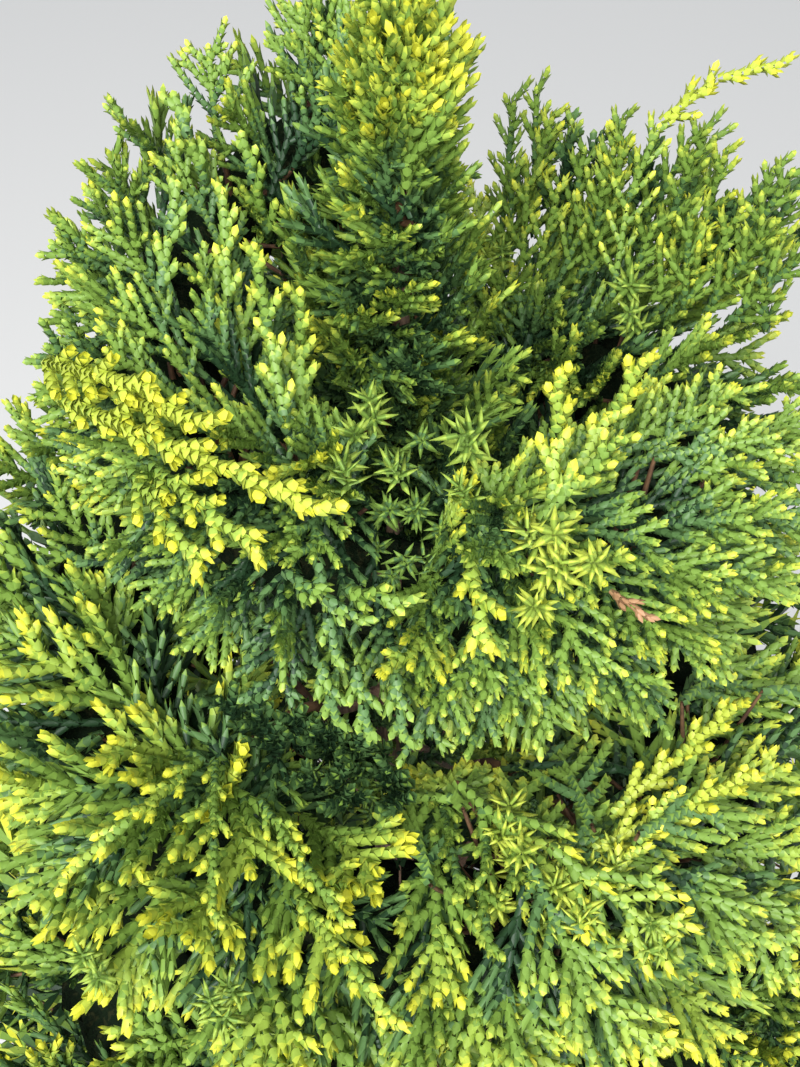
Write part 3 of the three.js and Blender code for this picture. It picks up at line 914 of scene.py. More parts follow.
class Places:
    """Where a quarter's sprays end: dealt along it and round its cross-section by the golden angle, each
    with the outward normal of the clipped face there."""

    def __init__(self, quarter, area, reach, seed):
        self.quarter = quarter
        self.rng = np.random.default_rng(seed)
        start = FIRST_TURN + quarter * WIDTH
        centre = Section(start + WIDTH / 2)
        rounds = np.linspace(0, TAU, SKIN_STEPS + 1)
        steps = np.hypot(centre.across * np.sin(rounds), centre.up * np.cos(rounds)) * TAU / SKIN_STEPS
        skin = np.cumsum(steps * (centre.middle + centre.across * np.cos(rounds)) * TAU * WIDTH)
        count = int(skin[-1] / area)
        i = np.arange(count)
        along = (i + 0.2 + 0.6 * self.rng.random(count)) / count
        self.end_share = 2 * along - 1
        along = 0.5 + 0.5 * self.end_share * (1.12 - 0.12 * self.end_share**2)
        share = (i * GOLDEN_ANGLE / TAU + 0.1 * self.rng.random(count)) % 1
        around = np.interp(share * skin[-1], skin, rounds)
        reach = reach + 0.11 * self.rng.random(count)
        turns = start + WIDTH * along
        section = Section(turns)
        radius = section.middle + section.across * reach * np.cos(around)
        self.tip = crown_point(turns, radius, section.up * reach * np.sin(around))
        self.outward = outward_at(angle_at(turns))
        normal = self.outward * (np.cos(around) / section.across)[:, None]
        normal[:, 2] += np.sin(around) / section.up
        self.normal = unit(normal)
        self.length = np.minimum(SPRAY_LENGTH, 1.15 * np.minimum(section.across, section.up))
        self.length *= 0.85 + 0.3 * self.rng.random(count)
        # How open a spray stands: paler, more golden palettes for sprays that face up and lie far out are
        # partly painted light and partly the plant's own gold; the darker ones below and inside are painted
        # shade
        self.openness = 0.36 + 0.26 * self.normal[:, 2] + 0.42 * radius / CROWN_RADIUS
        self.openness += GLOW.get(quarter, 0)

    def keep(self, mask):
        for field in ("tip", "outward", "normal", "length", "openness", "end_share"):
            setattr(self, field, getattr(self, field)[mask])

    def domed_headings(self):
        """Headings that radiate over the face from the middle of a dome, as the photograph shows."""
        fan = on_crown(DOME_CENTRES[self.quarter], -DOME_DEPTH)
        away = unit(self.tip - fan)
        lift = 0.3 + 0.3 * self.rng.random(len(self.tip))
        chance = self.rng.normal(0, 0.17, self.tip.shape)
        return unit(away + self.normal * lift[:, None] + chance + 0.12 * UP)

    def rising_headings(self):
        """Headings of shoots that grow up and out, and lie over the face like a thatched roof."""
        wanted = 0.8 * UP + 0.6 * self.outward
        over = wanted - self.normal * np.sum(wanted * self.normal, -1, keepdims=True)
        sideways = np.cross(self.outward, UP) * self.rng.normal(0, 0.4, (len(self.tip), 1))
        return unit(0.55 * self.normal + 0.8 * over + sideways + self.rng.normal(0, 0.1, self.tip.shape))

    def headings(self):
        rising = self.rising_headings()
        if self.quarter not in DOME_CENTRES:
            return rising
        at_end = np.clip((np.abs(self.end_share[:, None]) - 0.7) / 0.3, 0, 1)
        return unit(self.domed_headings() + 0.4 * self.normal * at_end)

    def palettes(self):
        """A palette for each spray by how open it stands to the sky, with chance mixed in. The darker
        palettes are painted shade, the paler ones partly painted light.
        """
        return np.digitize(self.openness + self.rng.normal(0, 0.15, len(self.tip)), PALETTE_LIMITS)

    def sprays(self, scale, palette, steps=8, subs=0, hollowed=True):
        heading = self.headings()
        roots = self.tip - heading * self.length[:, None]
        rooted = in_room(roots, self.quarter, LEAST_ROOT_SHARE)
        self.keep(rooted)
        heading, roots, palette = heading[rooted], roots[rooted], palette[rooted]
        upper = perpendicular(self.normal + self.rng.normal(0, 0.22, self.tip.shape), heading)
        made = spray_shoots(self.rng, self.tip, heading, upper, self.length, scale, palette, steps, subs)
        tips = made.tips()
        return made.where(in_room(tips, self.quarter) & ~(hollowed & in_hollow(tips))), roots


def round_trunk(rng, angle, radius, z, lean, sway, roll):
    """Spray tips round the trunk, their headings, which rise and lean outwards, and their upper sides."""
    outward = outward_at(angle)
    tip = outward * radius[:, None] + UP * z[:, None]
    # The lean is one number, or one for each tip
    heading = unit(outward * np.reshape(lean, (-1, 1)) + UP + rng.normal(0, sway, tip.shape))
    return tip, heading, perpendicular(outward + rng.normal(0, roll, tip.shape), heading)


def well_shoots(quarter):
    """Short spiky shoots on a quarter's trunk side, which close the well between the two."""
    rng = np.random.default_rng(WELL_SEED + quarter)
    start = FIRST_TURN + quarter * WIDTH
    count = WELL_SPRAYS[quarter]
    i = np.arange(count)
    turns = start + WIDTH * (i + 0.5) / count
    section = Section(turns)
    radius = 5 + (section.inner - 2) * rng.random(count)
    z = section.z + section.up * (-0.9 + 2.1 * ((i * GOLDEN_SHARE) % 1))
    tip, heading, upper = round_trunk(rng, angle_at(turns), radius, z, 0.8, 0.3, 0.4)
    length = 14 + 6 * rng.random(count)
    palette = rng.choice([SHADED, SHADED, PLAIN, YOUNG], count)
    palette[in_hollow(tip)] = SHADED
    shoots = spray_shoots(rng, tip, heading, upper, length, WELL_SCALE, palette, steps=6)
    return clothe(shoots.where(in_room(shoots.tips(), quarter, LEAST_WELL_SHARE)), SPIKY, SPIKY_PITCH)


# Fronds that the photograph singles out, by quarter: the pixels of foot and tip, lift in mm, and palette
FRONDS = {
    0: {
        "back": ((268, 235), (240, 128), 4, YOUNG),
        "back left": ((205, 182), (172, 90), 4, YOUNG),
    },
    1: {
        "golden": ((58, 398), (326, 512), 10, GILDED),
        "golden fringe": ((45, 362), (160, 392), 11, GILDED),
        "golden fringe below": ((120, 398), (215, 425), 12, GILDED),
        "hanging fringe": ((130, 470), (205, 575), 8, GOLDEN),
        "hanging fringe to the right": ((150, 465), (262, 555), 8, GOLDEN),
        "upright": ((285, 420), (252, 238), 8, BRIGHT),
        "upright fringe": ((300, 400), (300, 285), 7, BRIGHT),
        "crest": ((228, 300), (222, 185), 4, BRIGHT),
        "crest to the left": ((160, 290), (178, 178), 4, YOUNG),
        "inner": ((285, 572), (368, 625), 3, PLAIN),
        "inner below": ((318, 560), (338, 668), 2, PLAIN),
        "inner above": ((345, 590), (412, 604), 3, YOUNG),
        "shade": ((322, 664), (338, 726), 4, PLAIN),
        "shade in the middle": ((356, 668), (370, 742), 4, PLAIN),
    },
    2: {
        "pale crest": ((552, 505), (560, 365), 8, GOLDEN),
        "pale crest to the right": ((575, 470), (650, 352), 7, GOLDEN),
        "pale crest below": ((540, 520), (628, 430), 6, BRIGHT),
        "yellow finger": ((470, 560), (488, 655), 6, GOLDEN),
        "dry twiglet": ((612, 592), (655, 622), 5, DEAD),
        "shade to the right": ((396, 676), (404, 744), 4, PLAIN),
    },
    5: {
        "low fan": ((215, 760), (212, 920), 8, BRIGHT),
        "low fan to the left": ((200, 760), (60, 880), 8, GOLDEN),
        "low fan to the right": ((260, 800), (350, 930), 7, BRIGHT),
        "low fringe": ((300, 900), (400, 1030), 9, GOLDEN),
    },
    6: {
        "low cluster": ((610, 815), (742, 700), 10, GILDED),
        "low cluster to the right": ((590, 850), (762, 770), 9, GILDED),
        "low cluster to the left": ((600, 900), (672, 790), 8, GOLDEN),
        "seam": ((440, 790), (462, 905), 4, YOUNG),
        "seam in the middle": ((488, 795), (484, 880), 4, YOUNG),
        "seam below": ((478, 872), (492, 960), 4, YOUNG),
        "seam to the right": ((535, 800), (505, 900), 4, YOUNG),
    },
}

# How fronds and rising shoots are made, in mm unless pixels are named
FROND_SINK = 2
FROND_PART_PIXELS = 85
FROND_DIP = 12
FROND_STEP = 4.2
FROND_REACH = 5.6
FROND_RADIUS = {GILDED: 1.3, GOLDEN: 1.15, BRIGHT: 1.0, YOUNG: 1.0, PLAIN: 0.9, DEAD: 0.55}
FROND_PITCH = 1.0
RISER_STEP = 3.4
RISER_REACH = 9.5
RISER_RADIUS = 0.85
RISER_PITCH = 1.3
SHADED_RADIUS = 1.25
RISER_SINK = 8

# Rows of rising shoots, by quarter: the pixels of the first and last foot, how many, and their length.
# Young ones stand above the clipped outline at the back right. Shaded ones close the gap behind those, and
# another one on the inner side of the lower left.
RISER_ROWS = {3: [((500, 262), (770, 330), 15, 27), ((500, 232), (740, 292), 16, 36)]}
SHADED_ROWS = {
    3: [((520, 225), (745, 290), 11, 27)],
    5: [((310, 790), (385, 795), 4, 17), ((262, 742), (330, 765), 4, 24), ((335, 768), (395, 772), 5, 28)],
}

# A long young shoot that arches over the back right: the pixels it passes, from the foot on its quarter
ARCHING_QUARTER = 3
ARCHING_SINK = 4
ARCHING_PIXELS = [(612, 300), (628, 200), (662, 120), (720, 78), (790, 62)]

# The dark hollows between the domes: the pixel of each one's middle, its half width and its half height
HOLLOWS = [(408, 520, 44, 92), (345, 746, 50, 50), (704, 702, 24, 22), (330, 640, 40, 26)]

# Rosettes of sharp juvenile leaves, by quarter, at their pixels in the photograph
ROSETTES = {
    1: [(368, 418), (398, 398), (352, 470)],
    2: [(548, 508), (625, 305), (470, 470), (500, 250)],
    5: [(90, 985), (215, 1010)],
    6: [(655, 940)],
}
PALE_ROSETTES = {
    2: [(540, 560), (555, 585)],
    6: [(492, 828), (520, 850), (548, 878), (500, 872), (575, 915), (600, 868), (538, 905)],
}
HOLLOW_ROSETTES = {2: [(408, 462), (440, 520), (402, 556), (390, 520)], 5: [(325, 772), (374, 802)]}
ROSETTE_DEPTH = 2
HOLLOW_DEPTH = 15
ROSETTE_SHOOTS = 3
ROSETTE_SPREAD = 2.6
ROSETTE_LENGTH = 9
ROSETTE_RADIUS = 1.45


def in_hollow(points):
    pixels = pixel_of(points)
    inside = np.zeros(len(points), bool)
    for across, down, half_width, half_height in HOLLOWS:
        offset = (pixels - [across, down]) / [half_width, half_height]
        inside |= (offset**2).sum(-1) < 1
    return inside


def frond_shoots(rng, path, palette, reach, radius, step):
    """A frond along a path: leading shoots end to end, with side shoots that shorten towards its tip."""
    made = []
    parts = len(path) - 1
    for part in range(parts):
        foot, tip = path[part : part + 1], path[part + 1 : part + 2]
        heading = unit(tip - foot)
        length = np.linalg.norm(tip - foot, axis=1)
        leader = Shoots(
            foot=foot,
            axis=heading,
            upper=perpendicular(unit(CAMERA_EYE - tip) + rng.normal(0, 0.12, (1, 3)), heading),
            length=length,
            radius=np.array([radius]),
            bend=np.zeros((1, 3)),
            palette=np.array([palette]),
        )
        steps = max(2, round(length[0] / step))
        at = (np.arange(steps) + 0.2 + 0.5 * rng.random((1, steps))) / steps
        shorter = 1 - 0.5 * (part + at) / parts
        angle = SIDE_ANGLE * (0.75 + 0.4 * rng.random((1, steps)))
        side_reach = reach * shorter * (0.75 + 0.5 * rng.random((1, steps)))
        sides = side_shoots(rng, leader, at, angle, side_reach, 0.98)
        sides.palette = np.full(steps, palette)
        made += [leader, sides]
    return Shoots.together(made)


def riser_paths(rng, first_pixel, last_pixel, count, length):
    """The paths of a row of shoots that rise from the crown, each leaning a little outwards."""
    paths = []
    for share in np.linspace(0, 1, count):
        pixel = np.array(first_pixel) + share * (np.array(last_pixel) - first_pixel) + rng.normal(0, 6, 2)
        foot = on_crown(pixel, -RISER_SINK)
        outward = unit(np.array([foot[0], foot[1], 0]))
        heading = unit(outward * 0.35 + UP + rng.normal(0, 0.16, 3))
        paths.append(foot + heading * np.linspace(0, length * (0.75 + 0.3 * rng.random()), 3)[:, None])
    return paths


def fronds(quarter):
    """The long fronds that lie over a quarter's other shoots, and the growth that stands above them."""
    rng = np.random.default_rng(FROND_SEED + quarter)
    made = []
    for foot_pixel, tip_pixel, lift, palette in FRONDS.get(quarter, {}).values():
        parts = max(2, round(math.dist(foot_pixel, tip_pixel) / FROND_PART_PIXELS))
        share = np.linspace(0, 1, parts + 1)
        pixels = np.array(foot_pixel) + share[:, None] * (np.array(tip_pixel) - foot_pixel)
        lengths = np.array([sight_length(pixel) for pixel in pixels])
        lengths = np.minimum(lengths, lengths[0] + FROND_DIP)
        lifts = (lift + FROND_SINK) * np.sin(share * math.pi / 2) - FROND_SINK
        path = np.array([on_sight(pixel, length) for pixel, length in zip(pixels, lengths - lifts)])
        radius = FROND_RADIUS[palette]
        shoots = frond_shoots(rng, path, palette, FROND_REACH * radius, radius, FROND_STEP)
        made += clothe(shoots, BEADS, FROND_PITCH)
    for row in RISER_ROWS.get(quarter, []):
        for path in riser_paths(rng, *row):
            palette = rng.choice([YOUNG, BRIGHT])
            shoots = frond_shoots(rng, path, palette, RISER_REACH, RISER_RADIUS, RISER_STEP)
            made += clothe(shoots, FINE, RISER_PITCH)
    for row in SHADED_ROWS.get(quarter, []):
        for path in riser_paths(rng, *row):
            shoots = frond_shoots(rng, path, SHADED, RISER_REACH, SHADED_RADIUS, FROND_STEP)
            made += clothe(shoots, FINE, RISER_PITCH)
    if quarter == ARCHING_QUARTER:
        length = sight_length(ARCHING_PIXELS[0]) + ARCHING_SINK
        path = np.array([on_sight(pixel, length) for pixel in ARCHING_PIXELS])
        lower = frond_shoots(rng, path[:3], BRIGHT, RISER_REACH, RISER_RADIUS, RISER_STEP)
        upper = frond_shoots(rng, path[2:], GILDED, FROND_REACH, FROND_RADIUS[BRIGHT], RISER_STEP)
        made += clothe(Shoots.together([lower, upper]), FINE, LEAF_PITCH)
    return made


def rosettes(quarter):
    """Small groups of juvenile shoots that look towards the light."""
    rng = np.random.default_rng(ROSETTE_SEED + quarter)
    count = ROSETTE_SHOOTS
    made = []
    places = [(pixel, ROSETTE_DEPTH, 1, JUVENILE) for pixel in ROSETTES.get(quarter, [])]
    places += [(pixel, ROSETTE_DEPTH, 1.1, PALE_JUVENILE) for pixel in PALE_ROSETTES.get(quarter, [])]
    # Rosettes deep in the hollows take the darker plain palette: painted shade
    places += [(pixel, HOLLOW_DEPTH, 0.75, PLAIN) for pixel in HOLLOW_ROSETTES.get(quarter, [])]
    for pixel, depth, scale, palette in places:
        centre = on_crown(pixel, -depth)
        towards = unit(CAMERA_EYE - centre)
        axis = unit(towards + 0.35 * UP + rng.normal(0, 0.35, (count, 3)))
        shoots = Shoots(
            foot=centre + rng.normal(0, ROSETTE_SPREAD, (count, 3)) - axis * 4,
            axis=axis,
            upper=perpendicular(rng.normal(0, 1, (count, 3)), axis),
            length=scale * ROSETTE_LENGTH * (0.85 + 0.4 * rng.random(count)),
            radius=scale * ROSETTE_RADIUS * (0.85 + 0.3 * rng.random(count)),
            bend=np.zeros((count, 3)),
            palette=np.full(count, palette),
        )
        made += clothe(shoots, NEEDLES, NEEDLE_STEP)
    return made


# The sprays that close the band's two ends
END_SPRAYS = 34
END_REACH = 9
END_LENGTH = 26

# The inner core of painted shade: its rings and sides, the gap between two, and how far it closes at the
# band's ends
SHADE_CORE_RINGS = 17
SHADE_CORE_SIDES = 34
SHADE_CORE_GAP = 0.3
CORE_END_SHARE = 0.25


def end_shoots(quarter):
    """Sprays that close the band's two ends, at its top and at its foot."""
    rng = np.random.default_rng(END_SEED + quarter)
    last = quarter > 0
    turns = FIRST_TURN + (quarter + last) * WIDTH
    section = Section(turns)
    outward = outward_at(angle_at(turns))
    onward = np.cross(UP, outward) * (1 if last else -1)
    i = np.arange(END_SPRAYS)
    share = 0.9 * np.sqrt((i + 0.5) / END_SPRAYS)
    around = i * GOLDEN_ANGLE
    radius = section.middle + section.across * share * np.cos(around)
    tip = crown_point(turns, radius, section.up * share * np.sin(around))
    tip = tip + onward * (END_REACH * (1 - share**2))[:, None]
    spread = outward * np.cos(around)[:, None] + UP * np.sin(around)[:, None]
    spread = 1.1 * spread * share[:, None]
    heading = unit(0.6 * onward + spread + 0.35 * UP + rng.normal(0, 0.15, tip.shape))
    upper = perpendicular(onward + rng.normal(0, 0.3, tip.shape), heading)
    length = min(END_LENGTH, 0.8 * section.across) * (0.85 + 0.3 * rng.random(END_SPRAYS))
    palette = rng.choice([PLAIN, YOUNG, BRIGHT], END_SPRAYS)
    shoots = spray_shoots(rng, tip, heading, upper, length, 1.0 if last else 0.85, palette, steps=7)
    return clothe(shoots, CORDS, NEAR_CORD_STEP) if last else clothe(shoots, FINE, DEEP_PITCH)


def painted_shade_core(quarter):
    """The inner body that a quarter's sprays stand out of. Its near-black finish is painted shade deep in
    the foliage.
    """
    start = FIRST_TURN + quarter * WIDTH
    rings, sides = SHADE_CORE_RINGS, SHADE_CORE_SIDES
    inset = SHADE_CORE_GAP / (TAU * Section(start + WIDTH / 2).middle)
    points = []
    for ring in range(rings):
        t = ring / (rings - 1)
        turns = start + inset + (WIDTH - 2 * inset) * t
        section = Section(turns)
        at_end = (quarter == 0 and ring == 0) or (quarter == QUARTERS - 1 and ring == rings - 1)
        closing = CORE_END_SHARE if at_end else 1
        half_across = section.across - min(CORE_INSET, CORE_INSET_SHARE * section.across)
        half_up = section.up - min(CORE_INSET, CORE_INSET_SHARE * section.up)
        for side in range(sides):
            angle = TAU * side / sides
            lumps = noise.noise(Vector((9 * t + quarter, 2 * math.cos(angle), 2 * math.sin(angle))))
            crumbs = noise.noise(Vector((40 * t + quarter, 9 * math.cos(angle), 9 * math.sin(angle))))
            rough = closing * (0.46 + 0.18 * lumps + 0.14 * crumbs)
            radius = section.middle + half_across * rough * math.cos(angle)
            points.append(crown_point(turns, radius, half_up * rough * math.sin(angle)))
    points = np.array(points)
    triangles = tube_triangles(rings, sides)
    ends = np.array([points[:sides].mean(0), points[-sides:].mean(0)])
    return np.concatenate([points, ends]), np.concatenate([triangles, end_triangles(rings, sides)])


def twigs_to(quarter, roots):
    """Twigs from a quarter's stem to the feet of its sprays."""
    rng = np.random.default_rng(TWIG_SEED + quarter)
    bough = Bough(quarter)
    if quarter < QUARTERS_ON_TRUNK:
        stem = bezier(bough.root, bough.bend, bough.heart, 8)
    else:
        ahead = unit(bough.tip - bough.bend)
        root = bough.tip + ahead * SEAT_GAP
        stem = bezier(root, root + ahead * CORE_INSET, bough.heart, 8)
    radii = np.linspace(bough.tip_radius, 0.7 * bough.tip_radius, len(stem))
    made = [tube(stem, radii, 8)]
    start = FIRST_TURN + quarter * WIDTH
    for side in (-1, 1):
        turns = np.linspace(start + WIDTH / 2, start + WIDTH * (0.5 + 0.4 * side), 7)
        line = crown_point(turns, Section(turns).middle, 0)
        made.append(tube(line, np.linspace(0.7 * bough.tip_radius, 0.8, 7), 6))
    for root in roots:
        angle = math.atan2(root[1], root[0])
        turn = (angle - angle_at(start)) / TAU
        turn = np.clip(turn - math.floor(turn + WIDTH), 0.1 * WIDTH, 0.9 * WIDTH)
        turns = start + WIDTH / 2 + 0.7 * (turn - WIDTH / 2)
        foot = crown_point(turns, Section(turns).middle, 0)
        bend = (foot + root) / 2 + rng.normal(0, 2.0, 3)
        made.append(tube(bezier(foot, bend, root, 3), [0.85, 0.75, 0.62, 0.45], 4, caps=False))
    return joined(made)


def crown_pieces(name, made, leaves, twiggy_mesh, twig):
    """The leafy and the twiggy piece that stand for one mass of foliage."""
    points, triangles = joined([part[:2] for part in made])
    tones, smooth = (np.concatenate([part[field] for part in made]) for field in (2, 3))
    leafy = new_piece(f"leaf_shoots_{name}", points, triangles, leaves, tones, smooth)
    twiggy = new_piece(f"twigs_{name}", *twiggy_mesh, [twig])
    stand_in(leafy, f"foliage_{name}")
    stand_in(twiggy, f"foliage_{name}")


def make_foliage(quarter, leaves, twig, painted_shade):
    """Leaf shoots, twigs and a near-black core of painted shade in place of one mass of foliage."""
    name = place_name(quarter)
    size = FINE_SCALES.get(quarter, LOWER_FINE_SCALE)
    slim = min(size, 1)
    close = quarter <= LAST_NEAR_QUARTER
    domed = quarter in DOME_CENTRES
    plainer = (FINE, COARSE_PITCH * slim) if domed else (CORDS, NEAR_CORD_STEP if close else CORD_STEP)

    near = Places(quarter, FINE_AREA * size**2, SPRAY_REACH, NEAR_SEED + quarter)
    near.length *= min(size, LONGEST_STRETCH)
    near.keep(seen(near.tip, near.normal) & ~in_hollow(near.tip))
    shoots, near_roots = near.sprays(size, near.palettes(), steps=7, subs=2)
    made = clothe(shoots, FINE, LEAF_PITCH * size if close else DEEP_PITCH)

    if quarter < PER_TURN:
        area, stretch, scale = TOP_AREA * size**2, TOP_SCALE * size, TOP_SCALE * size
        dressing = (FINE, DEEP_PITCH)
    else:
        area, stretch, scale = PLAIN_AREA, FAR_STRETCH, PLAIN_SCALE
        dressing = plainer
    far = Places(quarter, area, SPRAY_REACH, FAR_SEED + quarter)
    far.keep(~seen(far.tip, far.normal) & ~(in_hollow(far.tip) & domed))
    far.length *= stretch
    shoots, far_roots = far.sprays(scale, far.palettes())
    made += clothe(shoots, *dressing)

    inner = Places(quarter, INNER_AREA, INNER_REACH, INNER_SEED + quarter)
    inner.keep(~seen(inner.tip, inner.normal))
    shoots = inner.sprays(PLAIN_SCALE * slim, np.full(len(inner.tip), SHADED))[0]
    made += clothe(shoots, *plainer)

    deep = Places(quarter, DEEP_AREA, INNER_REACH, DEEP_SEED + quarter)
    deep.keep(seen(deep.tip, deep.normal))
    palettes = deep.rng.choice([SHADED, SHADED, PLAIN], len(deep.tip))
    shoots = deep.sprays(DEEP_SCALE * slim, palettes, hollowed=False)[0]
    made += clothe(shoots, FINE, DEEP_PITCH * size)

    if quarter in WELL_SPRAYS:
        made += well_shoots(quarter)
    made += fronds(quarter) + rosettes(quarter)
    if quarter in (0, QUARTERS - 1):
        made += end_shoots(quarter)
    crown_pieces(name, made, leaves, twigs_to(quarter, np.concatenate([near_roots, far_roots])), twig)
    # A near-black core under the sprays: painted shade
    core = new_piece(f"inner_painted_shade_{name}", *painted_shade_core(quarter), [painted_shade])
    stand_in(core, f"foliage_{name}")


# The plume on the trunk's tip, and the skirt of shoots round its foot. Levels count from the crown's apex.
PLUME_TOP = 6
PLUME_RADIUS = 12
PLUME_LENGTH = 32
PLUME_CORE_DROP = 26
PLUME_SPRAYS = 32
PLUME_PALE_LEVEL = -4
PLUME_FALL = 38
SKIRT_SPRAYS = 26
SKIRT_LENGTH = 24
SKIRT_RADIUS = 13
SKIRT_WIDTH = 9
SKIRT_DROP = 22
SKIRT_FALL = 36


def plume_skirt(rng):
    """Shoots that rise and spread from the plume's foot, over the top of the well round the trunk."""
    i = np.arange(SKIRT_SPRAYS)
    share = (i + 0.5) / SKIRT_SPRAYS
    radius = SKIRT_RADIUS + SKIRT_WIDTH * share
    z = APEX_Z - SKIRT_DROP - SKIRT_FALL * share
    tip, heading, upper = round_trunk(rng, (i + 0.5) * GOLDEN_ANGLE, radius, z, 0.75, 0.15, 0.3)
    length = np.minimum(SKIRT_LENGTH, radius / heading[:, :2].max(-1).clip(0.5))
    length = length * (0.9 + 0.2 * rng.random(SKIRT_SPRAYS))
    palette = rng.choice([PLAIN, YOUNG, BRIGHT], SKIRT_SPRAYS, p=[0.35, 0.45, 0.2])
    return spray_shoots(rng, tip, heading, upper, length, 0.7, palette, steps=7, subs=1)


def make_plume(leaves, twig):
    """The upright plume on the trunk's tip: a leader with sprays that rise round it."""
    rng = np.random.default_rng(PLUME_SEED)
    i = np.arange(PLUME_SPRAYS)
    share = (i + 0.5) / PLUME_SPRAYS
    radius = PLUME_RADIUS * np.sqrt(share)
    fall = PLUME_FALL * share * ((GOLDEN_SHARE * i) % 1)
    level = PLUME_TOP - fall - 8 * share**2 + 3 * rng.random(PLUME_SPRAYS)
    lean = 0.08 + 0.22 * share
    tip, heading, upper = round_trunk(rng, i * GOLDEN_ANGLE, radius, APEX_Z + level, lean, 0.07, 0.3)
    length = PLUME_LENGTH * (0.85 + 0.3 * rng.random(PLUME_SPRAYS))
    high = level > PLUME_PALE_LEVEL
    pale = rng.choice([YOUNG, BRIGHT, GOLDEN], PLUME_SPRAYS, p=[0.25, 0.45, 0.3])
    green = rng.choice([PLAIN, YOUNG, BRIGHT], PLUME_SPRAYS, p=[0.4, 0.48, 0.12])
    palette = np.where(high, pale, green)
    scale = np.where(high, 0.9, 0.7)
    shoots = spray_shoots(rng, tip, heading, upper, length, scale, palette, steps=9, subs=1)
    tips = shoots.tips()
    shoots = shoots.where(np.hypot(tips[:, 0], tips[:, 1]) < PLUME_RADIUS + 4)
    made = clothe(shoots, FINE, PLUME_PITCH) + clothe(plume_skirt(rng), FINE, PLUME_PITCH)
    roots = tip - heading * length[:, None]
    line = np.array([[0, 0, TRUNK_TOP + SEAT_GAP], [0, 0, APEX_Z - PLUME_CORE_DROP], [0, 0, APEX_Z - 8]])
    tubes = [tube(line, [STEM_RADIUS, 1.2, 0.6], 8)]
    for root in roots:
        foot = np.array([0, 0, max(min(root[2] - 4, APEX_Z - 12), TRUNK_TOP + 1)])
        tubes.append(tube(bezier(foot, (foot + root) / 2, root, 3), [0.9, 0.8, 0.7, 0.5], 4, caps=False))
    crown_pieces("plume", made, leaves, joined(tubes), twig)


# The pot's and the compost's meshes: their sides, the rings of the compost, and its bark chips
POT_SIDES = 160
SOIL_SIDES = 150
SOIL_RINGS = 62
CHIPS = 700
CHIP_MARGIN = 6
CHIP_FACES = [
    [0, 1, 3], [0, 3, 2], [4, 7, 5], [4, 6, 7], [0, 4, 5], [0, 5, 1],
    [2, 3, 7], [2, 7, 6], [0, 2, 6], [0, 6, 4], [1, 5, 7], [1, 7, 3],
]


def wall_at(height):
    return FOOT_RADIUS + (RIM_RADIUS - RIM_PROUD - FOOT_RADIUS) * height / POT_HEIGHT


def lathe(profile, sides):
    """A closed turned mesh from a profile that starts and ends on the axis."""
    inner = np.array(profile[1:-1])
    angles = TAU * np.arange(sides) / sides
    x = inner[:, :1] * np.cos(angles)
    y = inner[:, :1] * np.sin(angles)
    z = np.broadcast_to(inner[:, 1:], x.shape)
    points = np.stack([x, y, z], -1).reshape(-1, 3)
    points = np.concatenate([points, [[0, 0, profile[0][1]], [0, 0, profile[-1][1]]]])
    return points, np.concatenate([tube_triangles(len(inner), sides), end_triangles(len(inner), sides)])


def shade_by_angle(piece, degrees):
    piece.data.shade_smooth()
    bpy.context.view_layer.objects.active = piece
    piece.select_set(True)
    bpy.ops.object.shade_auto_smooth(angle=math.radians(degrees))
    for modifier in list(piece.modifiers):
        bpy.ops.object.modifier_apply(modifier=modifier.name)
    piece.select_set(False)


def make_pot(plastic):
    """The moulded pot: a tapered wall with a ledge and a turned rim, and drain holes through its floor."""
    foot = POT_HEIGHT - RIM_BAND
    profile = [
        (0, 0),
        (FOOT_RADIUS - 12, 0),
        (FOOT_RADIUS - 2.4, 0),
        (FOOT_RADIUS - 0.9, 0.5),
        (wall_at(2), 2),
        (wall_at(14), 14),
        (wall_at(14) - 0.5, 14.8),
        (wall_at(foot - 26) - 0.5, foot - 26),
        (wall_at(foot - 25), foot - 25),
        (wall_at(foot) - 0.1, foot - 0.4),
        (wall_at(foot) + RIM_PROUD - 0.7, foot),
        (wall_at(foot) + RIM_PROUD, foot + 0.8),
        (RIM_RADIUS - 1.4, POT_HEIGHT - 6),
        (RIM_RADIUS - 0.3, POT_HEIGHT - 4.8),
        (RIM_RADIUS, POT_HEIGHT - 2.4),
        (RIM_RADIUS - 0.5, POT_HEIGHT - 0.7),
        (RIM_RADIUS - 1.6, POT_HEIGHT),
        (wall_at(POT_HEIGHT) - POT_WALL + 0.8, POT_HEIGHT),
        (wall_at(POT_HEIGHT - 1) - POT_WALL, POT_HEIGHT - 1),
        (wall_at(POT_FLOOR) - POT_WALL, POT_FLOOR),
        (0, POT_FLOOR),
    ]
    piece = new_piece("pot_moulded", *lathe(profile, POT_SIDES), [plastic])
    drills = []
    for i in range(DRAIN_HOLES):
        centre = (FOOT_RADIUS - DRAIN_INSET) * outward_at(TAU * (i + 0.5) / DRAIN_HOLES)
        drills.append(tube([centre - 8 * UP, centre + 8 * UP], [DRAIN_RADIUS] * 2, 28))
    cutter = new_piece("drain_cutter", *joined(drills), [plastic])
    cut = piece.modifiers.new("drains", "BOOLEAN")
    cut.object = cutter
    cut.operation = "DIFFERENCE"
    bpy.context.view_layer.objects.active = piece
    bpy.ops.object.modifier_apply(modifier=cut.name)
    bpy.data.objects.remove(cutter)
    shade_by_angle(piece, 32)
    stand_in(piece, "pot")


def filling_radius(height):
    return wall_at(height) - POT_WALL - SEAT_GAP


def soil_height(radius):
    edge = filling_radius(SOIL_TOP)
    places = [SOIL_FLAT, (edge + SOIL_FLAT) / 2, edge]
    return float(np.interp(radius, places, [SOIL_TOP, SOIL_TOP + SOIL_SWELL, SOIL_TOP - SOIL_EDGE_DIP]))


